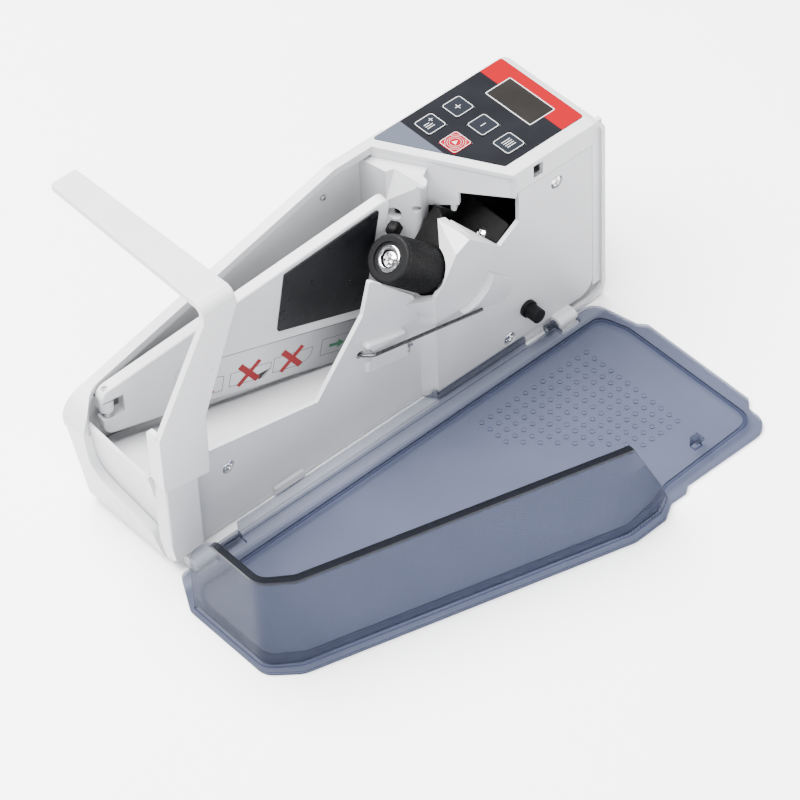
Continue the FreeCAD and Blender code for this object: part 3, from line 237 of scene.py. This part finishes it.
def smoked(name):
    """Smoke-tinted clear plastic, darker in its rim, rib, recesses and cut edges.

    It is see-through without refraction, paler up its wall, and painted paler along its hinge as
    painted light.
    """
    m = Mat(name)
    height = m.axis("Z")

    def between(low, high):
        above = m.math("GREATER_THAN", height, low * MM)
        return m.math("MULTIPLY", above, m.math("LESS_THAN", height, high * MM))

    def fade(low, high):
        return m.remap(height, 0.0, 1.0, low * MM, high * MM)

    rim = fade(*RIM_BAND)
    upper = fade(*WALL_BAND)
    inner = m.math("LESS_THAN", m.axis("Y"), HINGE_STRIP_Y * MM)
    rib = m.math("MULTIPLY", between(*RIB_BAND), inner)
    edge = m.math("MAXIMUM", rib, between(*RECESS_BAND))
    edge = m.math("MAXIMUM", edge, between(*CUT_EDGE_BAND))
    haze = m.remap(m.noise(30.0, 3.0), 0.0, 1.0)
    tint = m.mix(haze, rgb(0.505, 0.52, 0.575), rgb(0.52, 0.535, 0.59))
    tint = m.mix(upper, tint, rgb(0.73, 0.745, 0.785))
    # painted light: paler near the hinge, offsetting the shade on the curved hinge flange
    tint = m.mix(inner, rgb(0.64, 0.655, 0.70), tint)
    tint = m.mix(m.math("MULTIPLY", edge, 0.85), tint, rgb(0.20, 0.22, 0.31))
    tint = m.mix(rim, tint, rgb(0.12, 0.13, 0.17))
    scuff = m.bump(m.noise(60.0, 2.0), 0.02, 0.05)
    m.set(Base_Color=m.mix(rim, rgb(0.070, 0.078, 0.105), rgb(0.006, 0.0065, 0.008)),
          Roughness=m.remap(m.noise(240.0, 5.0), 0.06, 0.14), Specular_IOR_Level=0.16,
          Normal=scuff)
    clear = m.add("ShaderNodeBsdfTransparent", Color=tint).outputs["BSDF"]
    facing = m.add("ShaderNodeLayerWeight", Blend=0.5, Normal=scuff).outputs["Facing"]
    head_on, grazing = 0.04, 0.9                   # the share of light that the gloss reflects
    gloss = m.math("ADD", m.math("MULTIPLY", m.math("POWER", facing, 5.0), grazing), head_on)
    body = m.math("ADD", m.math("MULTIPLY", rim, 0.6), 0.07)
    share = m.math("MINIMUM", m.math("ADD", gloss, body), 1.0)
    blend = m.add("ShaderNodeMixShader", Fac=share)
    m.tree.links.new(clear, blend.inputs[1])
    m.tree.links.new(m.shader.outputs["BSDF"], blend.inputs[2])
    m.tree.links.new(blend.outputs["Shader"], m.out.inputs["Surface"])
    return m.mat


def overlay_print(name, band_x, corner_x):
    """Printed film: charcoal, a red band past band_x and a slate corner short of corner_x."""
    m = Mat(name)
    x = m.axis("X")
    charcoal = rgb(0.006, 0.0062, 0.0078), rgb(0.008, 0.0085, 0.0105)
    red = rgb(0.20, 0.0003, 0.0045)
    slate = rgb(0.055, 0.063, 0.082)
    base = m.mix(m.remap(m.noise(70.0), 0.0, 1.0), *charcoal)
    base = m.mix(m.math("GREATER_THAN", x, band_x * MM), base, red)
    base = m.mix(m.math("LESS_THAN", x, corner_x * MM), base, slate)
    m.set(Base_Color=base, Roughness=m.remap(m.noise(350.0, 4.0), 0.5, 0.62),
          Specular_IOR_Level=0.04,
          Normal=m.bump(m.noise(1500.0, 3.0), 0.12, 0.04))
    return m.mat


def glossy_film(name, low, high, rough, shine=0.3):
    """Tinted or printed film with a slow change of shade and orange-peel gloss."""
    m = Mat(name)
    normal, _ = m.soft_edges(0.2)
    m.set(Base_Color=m.mix(m.remap(m.noise(26.0, 2.0), 0.0, 1.0), low, high),
          Roughness=m.remap(m.noise(240.0, 3.0), rough * 0.8, rough * 1.3),
          Specular_IOR_Level=shine,
          Normal=m.bump(m.noise(700.0, 2.0), 0.06, 0.05, normal))
    return m.mat


def label_film(name):
    """Grey sticker with painted light: a painted reflection makes one end pale and a painted shadow
    darkens it towards the roller end.
    """
    m = Mat(name)
    # the sticker's painted light: pale with a painted reflection at one end, dark with painted
    # shadow at the roller end
    reflection_end, shadow_end = PIVOT.x + 78.0, PIVOT.x + 140.0
    along = m.remap(m.axis("X"), 0.0, 1.0, reflection_end * MM, shadow_end * MM)
    base = m.mix(along, rgb(0.46, 0.465, 0.485), rgb(0.055, 0.055, 0.062))
    base = m.mix(m.remap(m.noise(55.0), 0.0, 0.06), base, grey(0.5))
    m.set(Base_Color=base, Roughness=m.remap(m.noise(300.0), 0.36, 0.48),
          Specular_IOR_Level=0.25,
          Normal=m.bump(m.noise(1100.0), 0.06, 0.04))
    return m.mat


def ink(name, colour, rough=0.42):
    """Screen-printed ink, slightly uneven."""
    m = Mat(name)
    speck = m.remap(m.noise(1600.0, 4.0), 0.0, 1.0)
    m.set(Base_Color=m.mix(speck, shaded(colour, 0.9), colour),
          Roughness=m.remap(m.noise(800.0), rough - 0.06, rough + 0.08),
          Normal=m.bump(m.noise(2400.0), 0.15, 0.02))
    return m.mat


def circuit_board(name):
    """Green board with fine copper tracks under the lacquer."""
    m = Mat(name)
    tracks = m.add("ShaderNodeTexBrick", Vector=m.coord, Scale=420.0, Mortar_Size=0.03,
                   Color1=rgb(0.01, 0.10, 0.035), Color2=rgb(0.012, 0.13, 0.05),
                   Mortar=rgb(0.07, 0.24, 0.09))
    m.set(Base_Color=tracks.outputs["Color"], Roughness=m.remap(m.noise(600.0), 0.25, 0.4),
          Normal=m.bump(tracks.outputs["Fac"], 0.3, 0.05))
    return m.mat


def floor_paper(name):
    """Pale seamless paper."""
    m = Mat(name)
    m.set(Base_Color=m.mix(m.remap(m.noise(3.0), 0.0, 1.0), grey(0.94), grey(0.96)),
          Roughness=0.75, Specular_IOR_Level=0.15, Normal=m.bump(m.noise(500.0), 0.05, 0.1))
    return m.mat


M = {
    "shell": moulded("shell_white", rgb(0.50, 0.503, 0.515), rough=0.34, edge=0.4),
    "chassis": moulded("chassis_white", rgb(0.46, 0.463, 0.476), rough=0.36, edge=0.35),
    "arm": moulded("arm_white", rgb(0.50, 0.502, 0.512), rough=0.32, edge=0.5),
    "plate": moulded("plate_white", rgb(0.50, 0.503, 0.513), rough=0.32, edge=0.4),
    "rubber": rubber("rubber_black", rgb(0.0016, 0.0016, 0.0019)),
    "black": moulded("plastic_black", rgb(0.0022, 0.0022, 0.0026), rough=0.46, edge=0.25,
                     grain=0.2, shine=0.2),
    "chrome": metal("chrome_bright", rgb(0.80, 0.80, 0.81), rough=0.10),
    "wire": metal("wire_plated", rgb(0.11, 0.11, 0.113), rough=0.26),
    "steel": metal("steel_plain", rgb(0.56, 0.56, 0.57), rough=0.26),
    "can": metal("motor_can", rgb(0.50, 0.50, 0.51), rough=0.30, stretch=(30.0, 1.0, 1.0),
                 edge=0.3),
    "brass": metal("brass", rgb(0.62, 0.44, 0.18), rough=0.24),
    "bronze": metal("bronze_sintered", rgb(0.42, 0.27, 0.13), rough=0.45,
                    stretch=(1.0, 1.0, 1.0)),
    "coated": coated_sheet("black_steel"),
    "smoke": smoked("smoke_clear"),
    "pad": glossy_film("pad_dark", rgb(0.0028, 0.003, 0.0042), rgb(0.0042, 0.0045, 0.006),
                       rough=0.34),
    "label": label_film("label_grey"),
    "overlay": overlay_print("overlay_print", band_x=121.2, corner_x=69.5),
    "window": glossy_film("window_dark", rgb(0.010, 0.0092, 0.0088), rgb(0.015, 0.0138, 0.013),
                          rough=0.16),
    "key": glossy_film("key_slate", rgb(0.009, 0.0105, 0.014), rgb(0.0115, 0.0135, 0.0175),
                       rough=0.5, shine=0.04),
    "key_red": glossy_film("key_red", rgb(0.18, 0.0004, 0.006), rgb(0.22, 0.0004, 0.007),
                           rough=0.5, shine=0.05),
    "board": circuit_board("board_green"),
    "module": glossy_film("module_grey", grey(0.06), grey(0.09), rough=0.3),
    "acetal": moulded("gear_acetal", rgb(0.72, 0.71, 0.66), rough=0.3, edge=0.08, grain=0.05),
    "ink_white": ink("ink_white", grey(0.5)),
    "ink_red": ink("ink_red", rgb(0.20, 0.0006, 0.004), rough=0.6),
    "ink_green": ink("ink_green", rgb(0.004, 0.08, 0.03), rough=0.6),
    "ink_dark": ink("ink_dark", grey(0.006)),
    "ink_line": ink("ink_line", grey(0.035)),
    "floor": floor_paper("floor_paper"),
}

FINISH = {
    "shell": ["rear_shell", "battery_door"],
    "chassis": ["front_chassis"],
    "arm": ["note_arm"],
    "plate": ["hopper_plate"],
    "rubber": ["rubber_feet", "roller_sleeve", "retard_pad"],
    "black": ["roller_hub", "note_sensor", "key_switches", "adjusting_knob", "battery_bay",
              "power_jack", "switch_housing", "power_rocker"],
    "chrome": ["panel_screws", "roller_washer", "roller_screw", "bracket_screw", "wire_guide"],
    "steel": ["back_screws", "roller_shaft", "motor_shaft", "plate_pivot_pin", "plate_spring",
              "cover_hinge_pins", "knob_spindle", "wire_blade", "battery_contacts"],
    "can": ["drive_motor"],
    "brass": ["motor_pinion", "wire_collar"],
    "bronze": ["bearing_bushes"],
    "coated": ["drive_bracket"],
    "smoke": ["clear_cover"],
    "pad": ["note_pad"],
    "label": ["plate_label"],
    "overlay": ["deck_overlay"],
    "window": ["display_window"],
    "key": ["key_plus", "key_minus", "key_batch", "key_add"],
    "key_red": ["key_start"],
    "board": ["control_board"],
    "module": ["display_module"],
    "acetal": ["roller_gear"],
}

for finish, names in FINISH.items():
    for node_name in names:
        data = nodes[node_name].data
        data.materials.clear()
        data.materials.append(M[finish])


# ---------------------------------------------------------------- mesh helpers
def make_piece(name, verts, faces, finish, place=None, smooth=False):
    """Mesh object from millimetre points, put in place by a matrix in millimetres."""
    place = place or Matrix.Identity(4)
    mesh = bpy.data.meshes.new(name)
    mesh.from_pydata([tuple((place @ Vector(v)) * MM) for v in verts], [], faces)
    mesh.update()
    work = bmesh.new()
    work.from_mesh(mesh)
    bmesh.ops.recalc_face_normals(work, faces=work.faces)
    work.to_mesh(mesh)
    work.free()
    for face in mesh.polygons:
        face.use_smooth = smooth
    mesh.materials.append(M[finish])
    obj = bpy.data.objects.new(name, mesh)
    bpy.context.scene.collection.objects.link(obj)
    return obj


def keep_creases(piece, degrees=34.0):
    """Leave the edges sharper than this hard, on a mesh that is shaded smooth."""
    work = bmesh.new()
    work.from_mesh(piece.data)
    for edge in work.edges:
        if len(edge.link_faces) == 2:
            edge.smooth = edge.calc_face_angle() < math.radians(degrees)
    work.to_mesh(piece.data)
    work.free()


def rounded_loop(width, height, radius, steps=6):
    """Corner points of a rounded rectangle round the origin."""
    points = []
    for sx, sy, start in ((1, 1, 0), (-1, 1, 90), (-1, -1, 180), (1, -1, 270)):
        for k in range(steps + 1):
            a = math.radians(start + 90 * k / steps)
            points.append((sx * (width / 2 - radius) + radius * math.cos(a),
                           sy * (height / 2 - radius) + radius * math.sin(a)))
    return points


def slab(outline, thick):
    """Vertices and faces of a flat printed shape: an outline raised by thick."""
    n = len(outline)
    verts = [(x, y, 0.0) for x, y in outline] + [(x, y, thick) for x, y in outline]
    faces = [list(range(n))[::-1], list(range(n, 2 * n))]
    faces += [[i, (i + 1) % n, n + (i + 1) % n, n + i] for i in range(n)]
    return verts, faces


def ring_slab(outer, inner, thick):
    """Vertices and faces of a printed frame between two loops of equal length."""
    n = len(outer)
    verts = [(x, y, z) for z in (0.0, thick) for loop in (outer, inner) for x, y in loop]
    faces = []
    for i in range(n):
        j = (i + 1) % n
        faces += [[i, j, n + j, n + i][::-1], [2 * n + i, 2 * n + j, 3 * n + j, 3 * n + i],
                  [i, j, 2 * n + j, 2 * n + i], [n + i, 3 * n + i, 3 * n + j, n + j]]
    return verts, faces


def merge(parts):
    """One vertex and face list from several."""
    verts, faces = [], []
    for part_verts, part_faces in parts:
        start = len(verts)
        verts += part_verts
        faces += [[start + i for i in face] for face in part_faces]
    return verts, faces


def bar(x0, y0, x1, y1, width, thick):
    """Printed stroke from one point to another."""
    run = Vector((x1 - x0, y1 - y0)).normalized() * width / 2
    side = Vector((-run.y, run.x))
    a, b = Vector((x0, y0)), Vector((x1, y1))
    return slab([tuple(a + side), tuple(a - side), tuple(b - side), tuple(b + side)], thick)


def outline_strokes(points, width, thick):
    """Closed thin line through points."""
    return merge([bar(*points[i - 1], *points[i], width, thick) for i in range(len(points))])


def basis(origin, normal, up=Vector((0, 0, 1))):
    """Matrix that puts +Z along normal, with +Y as near up as it can be."""
    z = normal.normalized()
    x = up.cross(z).normalized()
    y = z.cross(x)
    turn = Matrix((x, y, z)).transposed().to_4x4()
    return Matrix.Translation(origin) @ turn


# ---------------------------------------------------------------- key deck print
INK = 0.04                                         # thickness of the deck's and keys' print
STROKE = 0.34                                      # width of a sign's lines
KEY_MARGIN = 0.25                                  # key's side to its printed frame
KEY_LINE = 0.3                                     # width of that frame
KEY_CENTRES = {name: (span(name)[0] + span(name)[1]) / 2 for name in
               ("key_plus", "key_minus", "key_batch", "key_add", "key_start")}
KEY_TOP = span("key_plus")[1].z
KEY_SIDE = span("key_plus")[1].x - span("key_plus")[0].x
KEY_BODY = {"key_plus": "plus", "key_minus": "minus", "key_batch": "batch", "key_add": "add",
            "key_start": "start"}


def key_frame():
    """Rounded square line just inside a key's sides."""
    outer = KEY_SIDE - 2 * KEY_MARGIN
    inner = outer - 2 * KEY_LINE
    return ring_slab(rounded_loop(outer, outer, 1.5), rounded_loop(inner, inner, 1.25), INK)


def stroke(x0, y0, x1, y1):
    """One line of a key's sign."""
    return bar(x0, y0, x1, y1, STROKE, INK)


def clipped_ring(radius, width, half):
    """Ring whose parts outside a square of that half side are left out."""
    parts = []
    steps = 60
    for k in range(steps):
        a0, a1 = 2 * math.pi * k / steps, 2 * math.pi * (k + 1) / steps
        corners = [(r * math.cos(a), r * math.sin(a)) for r, a in
                   ((radius, a0), (radius, a1), (radius + width, a1), (radius + width, a0))]
        if max(max(abs(x), abs(y)) for x, y in corners) < half:
            parts.append(slab(corners, INK))
    return merge(parts)


KEY_SIGNS = {
    "key_plus": [stroke(-1.7, 0, 1.7, 0), stroke(0, -1.7, 0, 1.7)],
    "key_minus": [stroke(-1.6, 0, 1.6, 0)],
    "key_add": [stroke(-3.2, -1.9, 1.2, -1.9), stroke(-3.2, -0.5, 1.2, -0.5),
                stroke(-3.2, 0.9, 0.2, 0.9), stroke(1.0, 2.1, 3.4, 2.1),
                stroke(2.2, 0.9, 2.2, 3.3)],
    "key_batch": [stroke(-2.7, y, 2.7, y) for y in (-2.1, -0.7, 0.7, 2.1)],
    "key_start": [clipped_ring(r, 0.15, 5.0) for r in (2.8, 3.9, 5.0)]
    + [slab([(-1.1, -1.4), (1.5, 0.0), (-1.1, 1.4)], INK)],
}

for key, signs in KEY_SIGNS.items():
    centre = KEY_CENTRES[key]
    spot = Matrix.Translation((centre.x, centre.y, KEY_TOP))
    verts, faces = merge([key_frame()] + signs)
    mark = make_piece(key + "_print", verts, faces, "ink_white", spot)
    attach(mark, KEY_BODY[key])

# the window's lip under the deck is wider than its glass, so the size is that of the film's hole
GLASS_X = (112.8, 128.3)
GLASS_Y = (-13.4, 17.5)
glass_w, glass_h = GLASS_X[1] - GLASS_X[0], GLASS_Y[1] - GLASS_Y[0]
border = ring_slab(rounded_loop(glass_w + 1.0, glass_h + 1.0, 0.8),
                   rounded_loop(glass_w + 0.1, glass_h + 0.1, 0.3), INK)
border_spot = Matrix.Translation((sum(GLASS_X) / 2, sum(GLASS_Y) / 2, DECK_TOP))
border_piece = make_piece("display_border", *border, "ink_white", border_spot)
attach(border_piece, "machine")


# ---------------------------------------------------------------- sticker print on the hopper plate
LABEL_OUT = 3.25                                   # plate's middle to the sticker's face
SLOPE = math.radians(-12.8)                        # the sticker's lower edge falls to the right
# thickness of each print, so that what is printed over another stands proud of it
LINE_INK, FOLD_INK, ARROW_INK, CROSS_INK, CROSS_TOP_INK = 0.03, 0.04, 0.05, 0.06, 0.07
plate_place = (Matrix.Translation((PIVOT.x, PIVOT.y, 0)) @ Matrix.Rotation(PLATE_YAW, 4, "Z")
               @ Matrix.Translation((0, -LABEL_OUT, 0)) @ Matrix.Rotation(math.pi / 2, 4, "X"))


def on_label(u, z):
    """Place of a sign on the sticker, turned to follow its slope."""
    return plate_place @ Matrix.Translation((u, z, 0)) @ Matrix.Rotation(SLOPE, 4, "Z")


def sticker_sign(name, parts, finish, u, z):
    """Print on the sticker, u along the plate from its pivot and z above the floor."""
    verts, faces = merge(parts)
    piece = make_piece(name, verts, faces, finish, on_label(u, z))
    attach(piece, "plate")


CROSS = [bar(-5.8, 5.9, 5.9, -5.2, 3.3, CROSS_INK), bar(-5.2, -6.4, 5.4, 6.6, 2.5, CROSS_TOP_INK)]
CROSS_SPOTS = ((74.8, 45.3), (98.6, 41.0), (49.6, 50.0))
for n, (u, z) in enumerate(CROSS_SPOTS):
    sticker_sign(f"wrong_way_cross_{n}", CROSS, "ink_red", u, z)
NOTES = [
    (75.0, 43.6, [(-11.0, -3.6), (8.2, -3.6), (11.8, 0.6), (11.8, 4.6), (-11.0, 4.6)]),
    (98.6, 39.6, [(-10.4, -4.0), (6.0, -4.0), (10.6, -0.2), (11.6, 5.2), (-10.4, 4.6)]),
    (51.0, 48.4, [(-9.0, -3.8), (9.6, -3.8), (9.6, 4.8), (6.4, 5.6), (-9.0, 4.6)]),
    (125.6, 36.0, [(-10.6, -4.6), (9.0, -4.6), (9.0, 5.2), (-10.6, 5.2)]),
]
for n, (u, z, corners) in enumerate(NOTES):
    sticker_sign(f"note_outline_{n}", [outline_strokes(corners, 0.32, LINE_INK)], "ink_line", u, z)

FOLD = [(4.6, -1.0), (11.6, 0.9), (6.2, -4.6)]
sticker_sign("folded_corner", [slab(FOLD, FOLD_INK)], "ink_dark", 75.0, 43.6)
ARROW = [(-4.4, 0.8), (-4.4, -1.0), (0.6, -1.0), (0.6, -2.6), (4.4, -0.1), (0.6, 2.4), (0.6, 0.8)]
sticker_sign("feed_arrow", [slab(ARROW, ARROW_INK)], "ink_green", 124.1, 36.6)
RULE = bar(-47.0, 11.4, 46.0, 11.4, 0.3, LINE_INK)
sticker_sign("sticker_rule", [RULE], "ink_line", 86.4, 46.3)


# ---------------------------------------------------------------- turned and bent parts
def tube_faces(rows, steps):
    """Faces along a tube whose rows are closed rings of that many points."""
    faces = []
    for low in range(0, (rows - 1) * steps, steps):
        for k in range(steps):
            j = (k + 1) % steps
            faces.append([low + k, low + j, low + steps + j, low + steps + k])
    return faces


def end_caps(rows, steps):
    """Faces that close the same tube's first and last rows."""
    last = (rows - 1) * steps
    return [list(range(steps))[::-1], [last + k for k in range(steps)]]


def lathe(profile, steps=48, lobes=0, lobe_depth=0.0, ring=False):
    """Solid of revolution round +Z from (radius, height) points.

    Its first and last rows are capped, or joined to each other for a ring.
    """
    verts = []
    for r, z in profile:
        for k in range(steps):
            a = 2 * math.pi * k / steps
            rr = r * (1 - lobe_depth * (0.5 - 0.5 * math.cos(lobes * a)))
            verts.append((rr * math.cos(a), rr * math.sin(a), z))
    rows = len(profile)
    last = (rows - 1) * steps
    join = [[k, (k + 1) % steps, last + (k + 1) % steps, last + k] for k in range(steps)]
    return verts, tube_faces(rows, steps) + (join if ring else end_caps(rows, steps))


def cross_screw(head_r, head_h, slot_r, shank_r, shank):
    """Domed screw head with a cross recess, its top at z = 0, and its plain shank."""
    rings, steps = 22, 72
    crown, crown_power = head_h * 0.55, 2.6
    arm_w = slot_r * 0.24
    arm_half, flank, arm_end, depth = arm_w * 1.5, arm_w * 0.6, slot_r * 0.3, head_h * 0.75
    verts = []
    for i in range(rings + 1):
        r = head_r * i / rings
        for k in range(steps):
            a = 2 * math.pi * k / steps
            x, y = r * math.cos(a), r * math.sin(a)
            z = -crown * (r / head_r) ** crown_power
            reach = max(abs(x), abs(y))
            near = min(abs(x), abs(y))
            if near < arm_half and reach < slot_r:
                wall = min(1.0, (arm_half - near) / flank)
                end = min(1.0, (slot_r - reach) / arm_end)
                z -= depth * wall * end
            verts.append((x, y, z))
    for k in range(steps):
        a = 2 * math.pi * k / steps
        verts.append((head_r * math.cos(a), head_r * math.sin(a), -head_h))
    rows = rings + 2
    faces = tube_faces(rows, steps) + end_caps(rows, steps)[1:]
    point_r, taper, overlap = shank_r * 0.6, shank * 0.85, 0.1
    stem = lathe([(point_r, -head_h - shank), (shank_r, -head_h - taper),
                  (shank_r, -head_h + overlap)])
    return merge([(verts, faces), stem])


def place_all(shape, spots):
    """Copies of one shape at several matrices, as one vertex and face list."""
    verts, faces = shape
    return merge([([tuple(spot @ Vector(v)) for v in verts], faces) for spot in spots])


FRONT = Vector((0, -1, 0))
BACK = Vector((0, 1, 0))


def stand_for(name, node, shape, finish, body):
    """Detailed mesh that takes a CAD node's place."""
    verts, faces = shape
    piece = make_piece(name, verts, faces, finish, smooth=True)
    keep_creases(piece)
    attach(piece, body)
    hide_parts(node)


PANEL_SCREW = cross_screw(head_r=3.25, head_h=1.5, slot_r=2.1, shank_r=1.4, shank=5.6)
BACK_SCREW = cross_screw(head_r=2.85, head_h=0.8, slot_r=1.8, shank_r=1.45, shank=2.8)
ROLLER_SCREW = cross_screw(head_r=4.15, head_h=2.1, slot_r=2.7, shank_r=2.35, shank=0.8)
BRACKET_SCREW = cross_screw(head_r=3.15, head_h=1.55, slot_r=2.0, shank_r=1.55, shank=4.9)

PANEL_SPOTS = [(112.0, -32.7, 93.9), (-90.8, -25.2, 38.0), (79.7, -32.7, 10.5)]
stand_for("panel_screw_heads", "panel_screws",
          place_all(PANEL_SCREW, [basis(Vector(p), FRONT) for p in PANEL_SPOTS]),
          "chrome", "machine")

BACK_SPOTS = [(-100, 30), (-100, 60), (20, 100), (125, 105)]
back_y = span("back_screws")[1].y
stand_for("back_screw_heads", "back_screws",
          place_all(BACK_SCREW, [basis(Vector((x, back_y, z)), BACK) for x, z in BACK_SPOTS]),
          "steel", "machine")


def on_drive(back, up, along):
    """Point in millimetres, counted from the roller joint in the drive's own directions."""
    return DRIVE_END + Vector((0, back, 0)) + DRIVE_SIDE * up + DRIVE_AXIS * along


ROLLER_SCREW_AT = on_drive(0, 0, 0.45)
WASHER_AT = on_drive(0, 0, 0.22)
BRACKET_SCREW_AT = on_drive(-1.2, 24.5, 54.4)
WASHER_PROFILE = [(4.5, 0.75), (4.5, 0.2), (5.0, 0.05), (6.1, 0.0), (6.5, 0.2), (6.58, 0.5),
                  (6.5, 0.78)]
stand_for("roller_end_screw", "roller_screw",
          place_all(ROLLER_SCREW, [basis(ROLLER_SCREW_AT, -DRIVE_AXIS)]),
          "chrome", "roller")
stand_for("roller_dish_washer", "roller_washer",
          place_all(lathe(WASHER_PROFILE, ring=True), [basis(WASHER_AT, DRIVE_AXIS)]),
          "chrome", "roller")
stand_for("bracket_cross_screw", "bracket_screw",
          place_all(BRACKET_SCREW, [basis(BRACKET_SCREW_AT, -DRIVE_AXIS)]),
          "chrome", "machine")

STUD_PROFILE = [(3.9, 0.0), (3.9, 3.2), (3.7, 4.4), (3.1, 5.3), (2.0, 5.8), (0.8, 5.95)]
STUD = lathe(STUD_PROFILE, steps=72, lobes=6, lobe_depth=0.13)
STUD_PLACE = basis(Vector((43.7, 7.2, 82.5)), Vector((-0.86, -0.5, 0)))
stand_for("retard_stud", "retard_pad", place_all(STUD, [STUD_PLACE]),
          "rubber", "machine")


def bent_wire(knots, radius, turn_r, sides=20):
    """Round wire through knots, with arcs at its bends and a rounded tip."""
    bend_steps, tip_steps = 8, 5
    path = [knots[0]]
    for before, knot, after in zip(knots, knots[1:], knots[2:]):
        start = knot + (before - knot).normalized() * turn_r
        end = knot + (after - knot).normalized() * turn_r
        for k in range(bend_steps + 1):
            t = k / bend_steps
            path.append(start * (1 - t) ** 2 + knot * 2 * t * (1 - t) + end * t ** 2)
    sizes = [radius] * len(path)
    tip_run = (knots[-1] - knots[-2]).normalized()
    for k in range(tip_steps + 1):
        a = math.pi / 2 * k / tip_steps
        path.append(knots[-1] - tip_run * radius + tip_run * radius * math.sin(a))
        sizes.append(max(radius * math.cos(a), radius * 0.05))
    verts = []
    side = Vector((0, 0, 1))
    for i, point in enumerate(path):
        run = (path[min(i + 1, len(path) - 1)] - path[max(i - 1, 0)]).normalized()
        side = (side - run * side.dot(run)).normalized()
        other = run.cross(side)
        for k in range(sides):
            a = 2 * math.pi * k / sides
            verts.append(tuple(point + (side * math.cos(a) + other * math.sin(a)) * sizes[i]))
    return verts, tube_faces(len(path), sides) + end_caps(len(path), sides)


WIRE_KNOTS = [WIRE_JOINT + Vector((0, 5.5, 0)), WIRE_JOINT + Vector((0, -0.8, 0)),
              Vector((-4.5, -30.3, 55.7)), Vector((58.5, -37.7, 49.1))]
stand_for("note_wire", "wire_guide", bent_wire(WIRE_KNOTS, radius=0.93, turn_r=2.2),
          "wire", "wire")


# ---------------------------------------------------------------- studio
def area_light(name, place, target, size, energy, colour=(1.0, 1.0, 1.0)):
    """Rectangular softbox aimed at a target."""
    data = bpy.data.lights.new(name, "AREA")
    data.shape = "RECTANGLE"
    data.size, data.size_y = size
    data.energy = energy
    data.color = colour
    obj = bpy.data.objects.new(name, data)
    obj.location = place
    obj.rotation_euler = (Vector(target) - Vector(place)).to_track_quat("-Z", "Y").to_euler()
    bpy.context.scene.collection.objects.link(obj)


MIDDLE = (0.0, -0.05, 0.05)
area_light("key_softbox", (-0.35, 0.45, 1.9), MIDDLE, size=(2.2, 1.8), energy=330.0)
area_light("front_fill", (-0.9, -1.6, 0.9), MIDDLE, size=(1.6, 1.2), energy=55.0,
           colour=(0.97, 0.98, 1.0))

world = bpy.data.worlds.new("studio")
world.use_nodes = True
background = world.node_tree.nodes["Background"]
background.inputs["Color"].default_value = rgb(0.95, 0.97, 1.0)
background.inputs["Strength"].default_value = 0.3
bpy.context.scene.world = world

FLOOR_HALF = 4.0
FLOOR_CELLS = 24
floor_mesh = bmesh.new()
bmesh.ops.create_grid(floor_mesh, x_segments=FLOOR_CELLS, y_segments=FLOOR_CELLS,
                      size=FLOOR_HALF)
floor_data = bpy.data.meshes.new("floor")
floor_mesh.to_mesh(floor_data)
floor_mesh.free()
floor_data.materials.append(M["floor"])
floor = bpy.data.objects.new("floor", floor_data)
bpy.context.scene.collection.objects.link(floor)

# the photograph's view: azimuth -39.5 degrees, elevation 45.8 degrees, turned 2.9 degrees
RIGHT = Vector((0.7479, -0.6629, -0.0355))
UP = Vector((0.4943, 0.5203, 0.6964))
CAMERA_PLACE = (-0.8868, -1.1200, 1.4660)
LENS_MM = 189.7
SENSOR_MM = 36.0
camera_data = bpy.data.cameras.new("camera")
camera_data.lens = LENS_MM
camera_data.sensor_width = SENSOR_MM
camera_data.clip_start = 0.05
camera = bpy.data.objects.new("camera", camera_data)
turn = Matrix((RIGHT, UP, RIGHT.cross(UP))).transposed().to_4x4()
camera.matrix_world = Matrix.Translation(CAMERA_PLACE) @ turn
bpy.context.scene.collection.objects.link(camera)
bpy.context.scene.camera = camera
